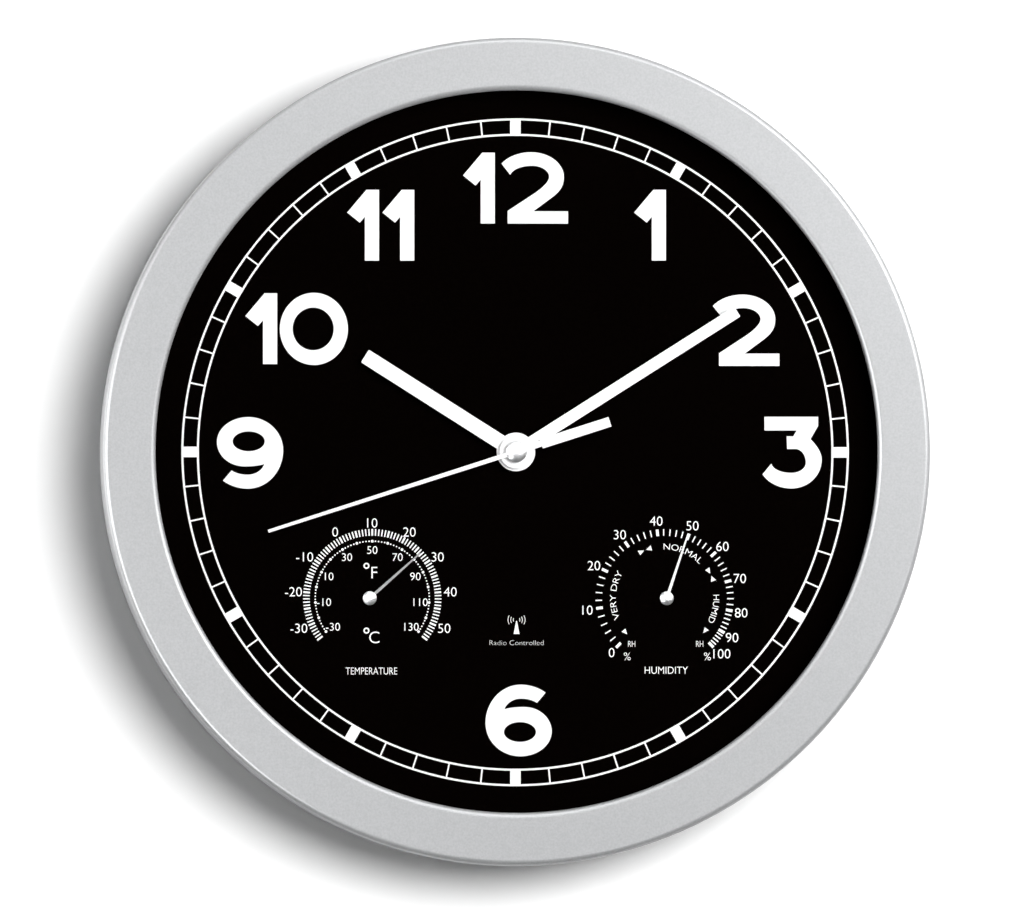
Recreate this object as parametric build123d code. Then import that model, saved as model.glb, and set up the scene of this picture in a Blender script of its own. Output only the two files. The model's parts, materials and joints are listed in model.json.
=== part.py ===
from build123d import *
import math
import os

# A round wall clock with a thermometer and a hygrometer on its dial.
# It is modelled lying on its back: x to the right, y up the dial, z from the wall towards the viewer.
# Each piece is then stood up, so that the dial faces -Y and the wall is the plane y = 0.
# The origin is where the axis of the hands meets the wall. Lengths are in millimetres, angles in degrees.

# Ring, lens and dial
opening_radius = 130.2
ring_face_width = 19.0
ring_draft = 0.8
ring_wall = 2.3
ring_outer_round = 2.0
ring_inner_round = 2.0
ring_rear_round = 0.6
ring_corner_round = 1.0
lip_thickness = 2.5
flange_thickness = 3.0
lens_overlap = 5.4
lens_thickness = 2.0
seat_gap = 0.4
seat_rib = 2.0
seat_rib_gap = 0.3
spacer_width = 4.4
dial_thickness = 0.8

# Rear cover and the screws that hold it
floor_thickness = 2.0
cover_gap = 0.9
boss_count = 6
boss_radius = 3.5
boss_turn = 15.0
case_screw_radius = 1.2
case_screw_length = 11.0
case_screw_head_radius = 2.9
case_screw_head_height = 1.8
screw_tip_gap = 1.5
screw_hole_gap = 0.5
thread_gap = 0.05
stiffener_inset = 8.0
stiffener_wall = 2.0
stiffener_height = 5.0
rib_count = 12
rib_wall = 1.6
rib_height = 4.0
rib_start_radius = 63.0
locator_gap = 0.4
locator_wall = 1.6
locator_height = 4.0

# Hanger
hanger_inset = 32.6
hanger_width = 52.0
hanger_depth = 26.0
hanger_thickness = 1.5
hanger_wall_gap = 2.7
hanger_corner = 4.0
keyhole_radius = 4.5
keyhole_drop = 4.5
keyslot_radius = 2.4
keyslot_rise = 9.5
tower_radius = 4.0
tower_spacing = 40.0
tower_web_height = 9.0
tower_web_wall = 1.6
hanger_screw_radius = 1.5
hanger_screw_length = 10.0
hanger_screw_head_radius = 3.0
hanger_screw_head_height = 1.3

# Movement shells
rear_gap = 2.7
movement_wall = 1.5
movement_corner = 3.0
pivot_boss_height = 1.5
pivot_boss_radius = 1.2
pivot_depth = 1.0
pivot_gap = 0.05
pivot_end_gap = 0.4
train_tail_room = 1.85
gear_room_gap = 0.6
rubber_thickness = 1.0
rubber_radius = 9.0
tab_length = 6.0
tab_wall = 1.2
tab_height = 2.0
tab_gap = 0.1

# Wheels of the train
level_step = 1.95
wheel_thickness = 1.2
pinion_length = 1.5
arbor_radius = 0.5
hub_radius = 0.9
wheel_head_room = 0.6
centre_module = 0.45
third_module = 0.36
rotor_module = 0.32
motion_module = 0.55
slow_wheel_teeth = 40
fast_wheel_teeth = 48
pinion_teeth = 8
minute_wheel_teeth = 30
cannon_teeth = 10
hour_wheel_teeth = 32
third_direction = 150.0
minutes_intermediate_direction = 80.0
minutes_rotor_direction = 5.0
seconds_intermediate_direction = 40.0
seconds_rotor_direction = 30.0
minute_wheel_direction = -50.0
addendum_share = 0.85
dedendum_share = 1.1
wheel_tip_share = 0.65
wheel_root_share = 1.9
pinion_tip_share = 0.58
pinion_root_share = 1.15
spoke_count = 4
spoke_window_share = 0.72
spoke_width_share = 0.22

# Bushing and the tubes of the hands
minute_tube_radius = 1.75
minute_tube_bore = 0.55
hour_tube_radius = 2.5
tube_gap = 0.05
bushing_radius = 4.0
bushing_flange_radius = 6.0
bushing_flange = 0.7
bushing_end = 0.7
dial_hole_gap = 0.3
dial_washer_radius = 6.0
dial_washer_thickness = 0.4
nut_width = 10.5
nut_thickness = 2.0

# Motors
magnet_radius = 2.8
magnet_length = 3.4
stator_gap = 0.5
stator_width = 8.0
stator_thickness = 1.0
stator_lug = 3.0
stator_lug_reach = 11.0
stator_post_radius = 1.3
coil_offset = 8.0
coil_radius = 2.6
coil_flange = 0.6
coil_flange_rise = 0.4
seconds_stator_low_reach = 12.5
seconds_stator_high_reach = 12.5
minutes_stator_low_reach = 4.6
minutes_stator_high_reach = 11.9

# Antenna and circuit board
antenna_radius = 4.0
antenna_length = 50.0
winding_thickness = 1.15
winding_length = 30.0
winding_gap = 0.05
antenna_gap = 1.3
antenna_lift = 1.1
cradle_width = 3.0
cradle_spacing = 40.0
cradle_height = 10.0
cradle_gap = 0.05
board_thickness = 1.0
board_height = 16.0
board_width = 55.0
board_lift = 3.0
board_edge_gap = 0.6
board_post_radius = 1.5
board_post_inset = 2.5
chip_size = 6.0
chip_height = 1.2
switch_size = 4.5
switch_height = 1.4

# Buttons on the back of the movement
button_radius = 2.4
button_gap = 0.1
button_proud = 0.9
button_flange_radius = 3.2
button_flange = 0.5
button_round = 0.4
button_spacing = 14.0
button_drop = 9.0

# Battery and its contacts
cell_radius = 7.25
cell_can_length = 49.5
cell_tip_length = 1.0
cell_tip_radius = 2.75
cell_edge_round = 0.6
cell_side_gap = 0.9
cell_inset = 0.9
cell_seat_gap = 0.3
bay_floor = 1.5
bay_end_wall = 2.0
positive_room = 2.0
negative_room = 3.5
contact_thickness = 0.4
contact_width = 8.0
contact_gap = 0.1
contact_dimple_radius = 2.0
leaf_rise_share = 0.75

# Hands
hand_thickness = 0.5
hand_step = 0.5
collet_wall = 0.9
collet_rise = 0.6
push_fit = 0.02
hour_hand_length = 64.6
hour_hand_width = 5.35
hour_hub_radius = 6.95
hour_hand_angle = 302.4
minute_hand_length = 94.7
minute_hand_width = 4.2
minute_hub_radius = 6.0
minute_hand_angle = 57.6
hand_tip_round = 0.4
second_hand_thickness = 0.4
second_hand_length = 94.0
second_hand_root_width = 1.6
second_hand_tip_width = 1.1
second_tail_length = 35.5
second_tail_width = 3.6
second_tail_start = 9.5
second_neck_width = 2.0
second_hub_radius = 2.6
second_hand_angle = 252.2
cap_radius = 3.8
cap_edge = 0.4
cap_dome = 1.4
cap_clearance = 1.3

# Thermometer and hygrometer units
gauge_side = 53.7
gauge_shift = 1.0
gauge_drop = 52.8
cup_radius = 17.0
cup_wall = 1.5
cup_height = 11.0
cup_vent_count = 8
cup_vent_width = 4.0
cup_vent_height = 5.0
ear_radius = 3.5
gauge_boss_radius = 3.2
gauge_boss_gap = 0.4
gauge_inner_boss = 1.2
gauge_arbor_radius = 0.6
gauge_screw_radius = 1.0
gauge_screw_length = 3.0
gauge_screw_head_radius = 2.0
gauge_screw_head_height = 1.2
bridge_width = 8.0
bridge_thickness = 1.5
collet_radius = 1.8
collet_end_gap = 0.8
spiral_turns = 4.5
spiral_thickness = 0.5
spiral_outer_radius = 12.0
spiral_height = 5.0
spiral_lift = 1.5
spiral_gap = 0.1
spiral_post_radius = 1.0
pointer_gap = 0.8
pointer_thickness = 0.3
pointer_length = 24.6
pointer_root_width = 1.1
pointer_tip_width = 0.5
pointer_hub_radius = 2.5
pointer_hub_edge = 0.5
pointer_hub_dome = 1.0
thermometer_angle = 48.3
hygrometer_angle = 18.4

# All cuts run this far past the faces that they open
overrun = 0.5

# Heights above the wall, from the wall forward
level_count = 7
movement_back = rear_gap
rear_inner = movement_back + movement_wall
pivot_top = rear_inner + pivot_boss_height
first_level = pivot_top + train_tail_room + pinion_length / 2
levels = [first_level + step * level_step for step in range(level_count)]
seconds_first_level, seconds_level, minutes_first_level, third_level = levels[:4]
centre_level, minute_level, hour_level = levels[4:]
front_inner = hour_level + wheel_thickness / 2 + wheel_head_room
movement_front = front_inner + movement_wall
floor_back = movement_front + rubber_thickness
floor_front = floor_back + floor_thickness
dial_front = floor_front + dial_thickness
washer_front = dial_front + dial_washer_thickness
nut_front = washer_front + nut_thickness
bushing_front = nut_front + bushing_end
hour_hand_back = bushing_front + hand_step + collet_rise
hour_tube_front = hour_hand_back + hand_thickness + hand_step
minute_hand_back = hour_tube_front + hand_step + collet_rise
minute_tube_front = minute_hand_back + hand_thickness + hand_step
second_hand_back = minute_tube_front + hand_step + collet_rise
second_hand_front = second_hand_back + second_hand_thickness
cap_front = second_hand_front + cap_edge + cap_dome
lens_back = cap_front + cap_clearance
lens_front = lens_back + lens_thickness
case_depth = lens_front + lip_thickness

# Radii of the case
ring_front_radius = opening_radius + ring_face_width
ring_rear_radius = ring_front_radius + ring_draft
lens_radius = opening_radius + lens_overlap
seat_radius = lens_radius + seat_gap
rib_radius = seat_radius + seat_rib
skirt_front_radius = ring_front_radius - ring_wall
skirt_rear_radius = ring_rear_radius - ring_wall
boss_circle = (rib_radius + skirt_front_radius) / 2
cover_radius = skirt_front_radius - cover_gap
stiffener_radius = lens_radius - stiffener_inset
hanger_height = stiffener_radius - hanger_inset


def polar(radius, angle, start=(0, 0)):
    """The point at a distance and a direction from a start point, anticlockwise from the right."""
    turn = math.radians(angle)
    return (start[0] + radius * math.cos(turn), start[1] + radius * math.sin(turn))


def mesh_distance(first_teeth, second_teeth, module):
    return module * (first_teeth + second_teeth) / 2


def tip_radius(teeth, module):
    return module * (teeth / 2 + addendum_share)


# Places of the arbors, seen from the front
slow_distance = mesh_distance(slow_wheel_teeth, pinion_teeth, centre_module)
rotor_distance = mesh_distance(fast_wheel_teeth, pinion_teeth, rotor_module)
third_distance = mesh_distance(fast_wheel_teeth, pinion_teeth, third_module)
motion_distance = mesh_distance(minute_wheel_teeth, cannon_teeth, motion_module)
centre = (0, 0)
third_at = polar(slow_distance, third_direction)
minutes_first_at = polar(third_distance, minutes_intermediate_direction, third_at)
minutes_rotor_at = polar(rotor_distance, minutes_rotor_direction, minutes_first_at)
seconds_first_at = polar(slow_distance, seconds_intermediate_direction)
seconds_rotor_at = polar(rotor_distance, seconds_rotor_direction, seconds_first_at)
minute_wheel_at = polar(motion_distance, minute_wheel_direction)
minutes_arbors = [third_at, minutes_first_at, minutes_rotor_at, minute_wheel_at]
seconds_arbors = [seconds_first_at, seconds_rotor_at]
side_arbors = minutes_arbors + seconds_arbors

# Outline of the movement, from what it holds
winding_radius = antenna_radius + winding_gap + winding_thickness
gear_room_low = minute_wheel_at[1] - tip_radius(minute_wheel_teeth, motion_module) - gear_room_gap
bay_high = gear_room_low - movement_wall
bay_low = bay_high - 2 * (cell_radius + cell_side_gap)
movement_low = bay_low - movement_wall
antenna_y = minutes_rotor_at[1] + minutes_stator_high_reach + antenna_gap + winding_radius
gear_room_high = antenna_y + winding_radius + antenna_gap
movement_high = gear_room_high + movement_wall
bay_length = negative_room + cell_can_length + cell_tip_length + positive_room
bay_half = bay_length / 2
bay_room_half = bay_half + bay_end_wall - movement_wall
antenna_room_half = antenna_length / 2 + antenna_gap
board_room_half = board_width / 2 + board_edge_gap
gear_room_half = max(bay_room_half, antenna_room_half, board_room_half)
movement_half = gear_room_half + movement_wall
cell_y = (bay_high + bay_low) / 2
cell_height = movement_back + cell_inset + cell_radius
bay_front = cell_height + cell_radius + cell_seat_gap
board_back = rear_inner + board_lift
board_front = board_back + board_thickness
antenna_height = board_front + antenna_lift + winding_radius
antenna_axis = Pos(0, antenna_y, antenna_height) * Rot(0, 90, 0)
board_high = gear_room_high - board_edge_gap
board_low = board_high - board_height
button_y = gear_room_high - button_drop
button_places = [(-button_spacing, button_y), (0, button_y), (button_spacing, button_y)]


def disc(radius, low, high, at=(0, 0)):
    """A cylinder standing on the height low and ending at high."""
    base = (Align.CENTER, Align.CENTER, Align.MIN)
    return Pos(at[0], at[1], low) * Cylinder(radius, high - low, align=base)


def hole(radius, low, high, at=(0, 0)):
    """The cylinder that cuts a hole through both faces."""
    return disc(radius, low - overrun, high + overrun, at)


def tube(outer, inner, low, high, at=(0, 0)):
    return disc(outer, low, high, at) - hole(inner, low, high, at)


def block(left, right, bottom, top, low, high):
    """A box between three pairs of limits."""
    corner = (Align.MIN, Align.MIN, Align.MIN)
    return Pos(left, bottom, low) * Box(right - left, top - bottom, high - low, align=corner)


def slab(outline, low, high):
    """A flat outline raised between two heights."""
    return extrude(Pos(0, 0, low) * outline, amount=high - low)


def outline_of(points):
    return make_face(Polyline(*points, close=True))


def lathe(points):
    """A profile of radius and height, turned about the axis of the hands."""
    return Plane.XZ * outline_of(points)


def dome(radius, edge, rise, base):
    """A button-shaped cap: a short cylinder under a shallow dome."""
    top = base + edge + rise
    side = Polyline((0, top), (0, base), (radius, base), (radius, base + edge))
    crown_radius = (radius ** 2 + rise ** 2) / (2 * rise)
    crown = RadiusArc((radius, base + edge), (0, top), -crown_radius)
    return revolve(Plane.XZ * make_face(side + crown), Axis.Z)


def tooth_ring(teeth, module, phase, tip_share, root_share):
    """The outline of a gear with straight-sided teeth, one tooth centred on the phase angle."""
    outer = tip_radius(teeth, module)
    inner = module * (teeth / 2 - dedendum_share)
    tip_half = math.degrees(tip_share * module / 2 / outer)
    root_half = math.degrees(root_share * module / 2 / inner)
    points = []
    for tooth in range(teeth):
        middle = phase + tooth * 360 / teeth
        points.append(polar(inner, middle - root_half))
        points.append(polar(outer, middle - tip_half))
        points.append(polar(outer, middle + tip_half))
        points.append(polar(inner, middle + root_half))
    return outline_of(points)


def phase_after(phase, teeth, direction, next_teeth):
    """The phase of a gear that meshes with a given one, lying in a given direction from it."""
    half_turn = 180
    return direction + half_turn - (phase - direction) * teeth / next_teeth - half_turn / next_teeth


def wheel(teeth, module, phase, height, at):
    """A toothed wheel, lightened by windows between its spokes."""
    rim = module * (teeth / 2 - dedendum_share)
    windows = Circle(rim * spoke_window_share) - Circle(hub_radius + hour_tube_radius)
    spoke_width = rim * spoke_width_share
    for spoke in range(spoke_count // 2):
        windows -= Rot(0, 0, spoke * 360 / spoke_count) * Rectangle(2 * rim, spoke_width)
    face = tooth_ring(teeth, module, phase, wheel_tip_share, wheel_root_share) - windows
    low = height - wheel_thickness / 2
    return Pos(at[0], at[1], 0) * slab(face, low, low + wheel_thickness)


def pinion(teeth, module, phase, height, at):
    face = tooth_ring(teeth, module, phase, pinion_tip_share, pinion_root_share)
    low = height - pinion_length / 2
    return Pos(at[0], at[1], 0) * slab(face, low, low + pinion_length)


def arbor(at):
    """A steel pin that runs in a hole in each shell of the movement."""
    return disc(arbor_radius, rear_inner + pivot_end_gap, front_inner + pivot_depth - pivot_end_gap, at)


def wheel_and_pinion(at, wheel_spec, pinion_spec):
    """A wheel and a pinion on one arbor. Each spec is teeth, module, phase and height."""
    wheel_height = wheel_spec[-1]
    pinion_height = pinion_spec[-1]
    low = min(wheel_height, pinion_height)
    high = max(wheel_height, pinion_height)
    hub = disc(hub_radius, low, high, at)
    return wheel(*wheel_spec, at) + pinion(*pinion_spec, at) + hub + arbor(at)


def rotor(at, phase, pinion_height, magnet_height):
    """A stepper motor's magnet and its pinion on one arbor."""
    magnet = disc(magnet_radius, magnet_height - magnet_length / 2, magnet_height + magnet_length / 2, at)
    return magnet + pinion(pinion_teeth, rotor_module, phase, pinion_height, at) + arbor(at)


# Phases that put every pair of teeth in mesh at rest
third_pinion_phase = phase_after(0, slow_wheel_teeth, third_direction, pinion_teeth)
minutes_pinion_phase = phase_after(0, fast_wheel_teeth, minutes_intermediate_direction, pinion_teeth)
minutes_rotor_phase = phase_after(0, fast_wheel_teeth, minutes_rotor_direction, pinion_teeth)
seconds_pinion_phase = phase_after(0, slow_wheel_teeth, seconds_intermediate_direction, pinion_teeth)
seconds_rotor_phase = phase_after(0, fast_wheel_teeth, seconds_rotor_direction, pinion_teeth)
minute_wheel_phase = phase_after(0, cannon_teeth, minute_wheel_direction, minute_wheel_teeth)
minute_pinion_phase = phase_after(0, hour_wheel_teeth, minute_wheel_direction, pinion_teeth)
seconds_magnet_height = (minutes_first_level + third_level) / 2
minutes_magnet_height = centre_level


def rim_places():
    return [polar(boss_circle, boss_turn + place * 360 / boss_count) for place in range(boss_count)]


def bezel_ring():
    """The ring: a flat face with rounded edges, a lip over the lens and a skirt back to the wall."""
    flange_back = case_depth - flange_thickness
    rear_edge = (ring_rear_radius, 0)
    outer_edge = (ring_front_radius, case_depth)
    inner_edge = (opening_radius, case_depth)
    inside_corner = (skirt_front_radius, flange_back)
    profile = lathe([
        rear_edge,
        outer_edge,
        inner_edge,
        (opening_radius, lens_front),
        (seat_radius, lens_front),
        (seat_radius, floor_front + seat_rib_gap),
        (rib_radius, floor_front + seat_rib_gap),
        (rib_radius, flange_back),
        inside_corner,
        (skirt_rear_radius, 0),
    ])
    rounds = [
        (rear_edge, ring_rear_round),
        (outer_edge, ring_outer_round),
        (inner_edge, ring_inner_round),
        (inside_corner, ring_corner_round),
    ]
    for (radius, height), size in rounds:
        corner = profile.vertices().sort_by_distance((radius, 0, height))[0]
        profile = fillet(corner, size)
    ring = revolve(profile, Axis.Z)
    pilot_depth = floor_front + case_screw_length - floor_thickness + screw_tip_gap
    for place in rim_places():
        ring += disc(boss_radius, floor_front, flange_back, place)
        ring -= disc(case_screw_radius + thread_gap, floor_front - overrun, pilot_depth, place)
    return ring


def front_lens():
    return disc(lens_radius, lens_back, lens_front)


def dial_spacer():
    return tube(lens_radius, lens_radius - spacer_width, dial_front, lens_back)


def gauge_places():
    return [(gauge_shift - gauge_side, -gauge_drop), (gauge_shift + gauge_side, -gauge_drop)]


def dial_plate():
    plate = disc(lens_radius, floor_front, dial_front)
    plate -= hole(bushing_radius + dial_hole_gap, floor_front, dial_front)
    for place in gauge_places():
        plate -= hole(gauge_arbor_radius + dial_hole_gap, floor_front, dial_front, place)
    return plate


def ear_places(place):
    """The two screw places of a gauge cup, in line with the middle of the dial."""
    direction = math.degrees(math.atan2(place[1], place[0]))
    return [polar(ear_reach, direction, place), polar(-ear_reach, direction, place)]


def tower_places():
    return [(-tower_spacing / 2, hanger_height), (tower_spacing / 2, hanger_height)]


def movement_outline(margin):
    """The rounded rectangle of the movement, grown by a margin on every side."""
    width = 2 * (movement_half + margin)
    height = movement_high - movement_low + 2 * margin
    middle = (movement_high + movement_low) / 2
    return Pos(0, middle, 0) * RectangleRounded(width, height, movement_corner + margin)


def rear_cover():
    """The moulded cover behind the dial: a ribbed floor, a locator for the movement and hanger towers."""
    cover = disc(cover_radius, floor_back, floor_front)
    stiffener_inner = stiffener_radius - stiffener_wall
    cover += tube(stiffener_radius, stiffener_inner, floor_back - stiffener_height, floor_back)
    rib_end = (stiffener_radius + stiffener_inner) / 2
    rib_half = rib_wall / 2
    rib = block(rib_start_radius, rib_end, -rib_half, rib_half, floor_back - rib_height, floor_back)
    hanger_rib = rib_count // 4
    for number in range(rib_count):
        if number != hanger_rib:
            cover += Rot(0, 0, number * 360 / rib_count) * rib
    locator = movement_outline(locator_gap + locator_wall) - movement_outline(locator_gap)
    cover += slab(locator, floor_back - locator_height, floor_back)
    tower_back = hanger_wall_gap + hanger_thickness
    web_half = tower_spacing / 2
    web_low = hanger_height - tower_web_wall / 2
    web_back = floor_back - tower_web_height
    cover += block(-web_half, web_half, web_low, web_low + tower_web_wall, web_back, floor_back)
    for place in tower_places():
        cover += disc(tower_radius, tower_back, floor_back, place)
        pilot_end = hanger_wall_gap + hanger_screw_length + screw_tip_gap
        cover -= disc(hanger_screw_radius + thread_gap, tower_back - overrun, pilot_end, place)
    cover -= hole(bushing_radius + dial_hole_gap, floor_back, floor_front)
    for place in rim_places():
        cover -= hole(case_screw_radius + screw_hole_gap, floor_back, floor_front, place)
    for place in gauge_places():
        cover -= hole(gauge_boss_radius + gauge_boss_gap, floor_back, floor_front, place)
        for ear in ear_places(place):
            cover -= hole(gauge_screw_radius + thread_gap, floor_back, floor_front, ear)
    return cover


def screw(place, head_radius, head_height, shank_radius, seat, length):
    """A pan-head screw driven forward from the rear, with its head resting on the height seat."""
    head = disc(head_radius, seat - head_height, seat, place)
    return head + disc(shank_radius, seat, seat + length, place)


def case_screws():
    head = (case_screw_head_radius, case_screw_head_height, case_screw_radius)
    return Compound([screw(place, *head, floor_back, case_screw_length) for place in rim_places()])


def hanger_plate():
    """The steel strip with the keyhole: a round entry, and above it a slot for the shank of the screw."""
    outline = Pos(0, hanger_height, 0) * RectangleRounded(hanger_width, hanger_depth, hanger_corner)
    entry_y = hanger_height - keyhole_drop
    outline -= Pos(0, entry_y, 0) * Circle(keyhole_radius)
    outline -= Pos(0, entry_y + keyslot_rise / 2, 0) * Rectangle(2 * keyslot_radius, keyslot_rise)
    outline -= Pos(0, entry_y + keyslot_rise, 0) * Circle(keyslot_radius)
    for place in tower_places():
        outline -= Pos(*place, 0) * Circle(hanger_screw_radius + screw_hole_gap)
    return slab(outline, hanger_wall_gap, hanger_wall_gap + hanger_thickness)


def hanger_screws():
    head = (hanger_screw_head_radius, hanger_screw_head_height, hanger_screw_radius)
    seat = hanger_wall_gap
    return Compound([screw(place, *head, seat, hanger_screw_length) for place in tower_places()])


def stator_ends(at, low_reach, high_reach):
    """The lower and upper ends of a stator."""
    return at[1] - low_reach, at[1] + high_reach


def stator_lugs(motor):
    """The middles of the two lugs of a stator."""
    low, high = stator_ends(*motor)
    lug_x = motor[0][0] + coil_offset
    return [(lug_x, low + stator_lug / 2), (lug_x, high - stator_lug / 2)]


seconds_motor = (seconds_rotor_at, seconds_stator_low_reach, seconds_stator_high_reach)
minutes_motor = (minutes_rotor_at, minutes_stator_low_reach, minutes_stator_high_reach)


def movement_front_shell():
    """The front plate of the movement, with locating tabs, pivot holes and posts for what it carries."""
    shell = slab(movement_outline(0), front_inner, movement_front)
    tab_outer = gear_room_half - tab_gap
    for side in (-1, 1):
        for tab_y in (0, antenna_y):
            middle = Pos(side * (tab_outer - tab_wall / 2), tab_y, front_inner - tab_height / 2)
            shell += middle * Box(tab_wall, tab_length, tab_height)
    for place in side_arbors:
        shell -= disc(arbor_radius + pivot_gap, front_inner - overrun, front_inner + pivot_depth, place)
    for motor, height in ((seconds_motor, seconds_magnet_height), (minutes_motor, minutes_magnet_height)):
        for lug in stator_lugs(motor):
            shell += disc(stator_post_radius, height + stator_thickness / 2, front_inner, lug)
    for side in (-1, 1):
        middle = side * cradle_spacing / 2
        left, right = middle - cradle_width / 2, middle + cradle_width / 2
        bottom, top = antenna_y - cradle_height / 2, antenna_y + cradle_height / 2
        shell += block(left, right, bottom, top, antenna_height, front_inner)
    shell -= antenna_axis * Cylinder(antenna_radius + cradle_gap, antenna_length)
    shell -= hole(bushing_radius + push_fit, front_inner, movement_front)
    shell -= disc(bushing_flange_radius + push_fit, front_inner - overrun, front_inner + bushing_flange)
    return shell


def movement_rear_shell():
    """The rear housing: side walls, pivot bosses, button holes and a battery bay open to the rear."""
    shell = slab(movement_outline(0), movement_back, front_inner)
    open_front = front_inner + overrun
    shell -= block(-gear_room_half, gear_room_half, gear_room_low, gear_room_high, rear_inner, open_front)
    shell -= block(-bay_half, bay_half, bay_low, bay_high, movement_back - overrun, bay_front)
    bay_roof = bay_front + bay_floor
    shell -= block(-bay_half, bay_half, bay_low, gear_room_low + overrun, bay_roof, open_front)
    for place in side_arbors + [centre]:
        shell += disc(pivot_boss_radius, rear_inner, pivot_top, place)
        shell -= disc(arbor_radius + pivot_gap, rear_inner, pivot_top + overrun, place)
    post_x = board_width / 2 - board_post_inset
    for post_y in (board_low + board_post_inset, board_high - board_post_inset):
        for side in (-1, 1):
            shell += disc(board_post_radius, rear_inner, board_back, (side * post_x, post_y))
    for place in button_places:
        shell -= hole(button_radius + button_gap, movement_back, rear_inner, place)
    return shell


def threaded_bushing():
    bushing = disc(bushing_radius, front_inner, bushing_front)
    bushing += disc(bushing_flange_radius, front_inner, front_inner + bushing_flange)
    return bushing - hole(hour_tube_radius + tube_gap, front_inner, bushing_front)


def rubber_washer():
    return tube(rubber_radius, bushing_radius + thread_gap, movement_front, floor_back)


def dial_washer():
    return tube(dial_washer_radius, bushing_radius + thread_gap, dial_front, washer_front)


def hex_nut():
    nut_sides = 6
    corner_radius = nut_width / 2 / math.cos(math.pi / nut_sides)
    nut = slab(RegularPolygon(corner_radius, nut_sides), washer_front, nut_front)
    return nut - hole(bushing_radius + thread_gap, washer_front, nut_front)


def stator(motor, height):
    """A flat iron plate: a bar round the magnet, with a lug at each end that carries the coil."""
    at = motor[0]
    low, high = stator_ends(*motor)
    outline = Pos(at[0], (low + high) / 2, 0) * Rectangle(stator_width, high - low)
    for lug in stator_lugs(motor):
        outline += Pos(at[0] + stator_lug_reach / 2, lug[1], 0) * Rectangle(stator_lug_reach, stator_lug)
    outline -= Pos(*at, 0) * Circle(magnet_radius + stator_gap)
    return slab(outline, height - stator_thickness / 2, height + stator_thickness / 2)


def motor_coil(motor, height):
    """A wound bobbin with a flange at each end, between the lugs of its stator."""
    low, high = stator_ends(*motor)
    start = low + stator_lug
    end = high - stator_lug
    coil_x = motor[0][0] + coil_offset
    middle = Pos(coil_x, (start + end) / 2, height) * Rot(90, 0, 0)
    coil = middle * Cylinder(coil_radius, end - start)
    flange = Cylinder(coil_radius + coil_flange_rise, coil_flange)
    flange_offset = (end - start - coil_flange) / 2
    for side in (-1, 1):
        coil += middle * Pos(0, 0, side * flange_offset) * flange
    return coil


def antenna_rod():
    return antenna_axis * Cylinder(antenna_radius, antenna_length)


def antenna_winding():
    core = Cylinder(antenna_radius + winding_gap, winding_length + 2 * overrun)
    return antenna_axis * (Cylinder(winding_radius, winding_length) - core)


def circuit_board():
    """The board behind the antenna, with a chip on its front and one switch under each button."""
    half = board_width / 2
    board = block(-half, half, board_low, board_high, board_back, board_front)
    chip_x = (antenna_length + winding_length) / 4
    chip_y = (board_low + board_high) / 2
    board += Pos(chip_x, chip_y, board_front + chip_height / 2) * Box(chip_size, chip_size, chip_height)
    switch = Box(switch_size, switch_size, switch_height)
    for place in button_places:
        board += Pos(*place, board_back - switch_height / 2) * switch
    return board


def push_button(place):
    """A round button: a flange inside the movement's wall and a rounded stem that stands proud of it."""
    stem = disc(button_radius, movement_back - button_proud, rear_inner + button_flange, place)
    stem = fillet(stem.edges().group_by(Axis.Z)[0], button_round)
    return stem + disc(button_flange_radius, rear_inner, rear_inner + button_flange, place)


def along_cell(radius, start, end):
    """A cylinder lying along the battery's axis between two places from left to right."""
    middle = Pos((start + end) / 2, cell_y, cell_height) * Rot(0, 90, 0)
    return middle * Cylinder(radius, end - start)


def battery_cell():
    can_start = negative_room - bay_half
    can_end = can_start + cell_can_length
    can = along_cell(cell_radius, can_start, can_end)
    can = fillet(can.edges().filter_by(GeomType.CIRCLE), cell_edge_round)
    return can + along_cell(cell_tip_radius, can_end, can_end + cell_tip_length)


def positive_contact():
    """A strip on the end wall of the bay, with a dimple that meets the tip of the cell."""
    half = contact_width / 2
    low, high = cell_height - half, cell_height + half
    strip = block(bay_half - contact_thickness, bay_half, cell_y - half, cell_y + half, low, high)
    dimple_end = bay_half - positive_room + contact_gap
    return strip + along_cell(contact_dimple_radius, dimple_end, bay_half)


def negative_contact():
    """A leaf spring, bowed out from the end wall of the bay to meet the base of the cell."""
    wall = -bay_half
    half = contact_width / 2
    rise = cell_radius * leaf_rise_share
    strip_face = wall + contact_thickness
    crest = wall + negative_room - contact_gap
    run = crest - strip_face
    slant = math.hypot(run, rise)
    fold = contact_thickness * slant / run
    leaf = outline_of([
        (wall, cell_y - rise),
        (wall, cell_y + rise),
        (strip_face, cell_y + rise),
        (crest, cell_y),
        (strip_face, cell_y - rise),
    ])
    leaf -= outline_of([
        (strip_face, cell_y - rise + fold),
        (strip_face, cell_y + rise - fold),
        (crest - contact_thickness * slant / rise, cell_y),
    ])
    return slab(leaf, cell_height - half, cell_height + half)


# Heights and radii inside a gauge unit
ear_reach = cup_radius + ear_radius
cup_back = floor_back - cup_height
bridge_back = cup_back - bridge_thickness
cup_base = floor_back - cup_wall
spiral_low = cup_back + spiral_lift
spiral_high = spiral_low + spiral_height
spiral_inner_radius = collet_radius + spiral_gap + spiral_thickness / 2
pointer_back = dial_front + pointer_gap


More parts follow.
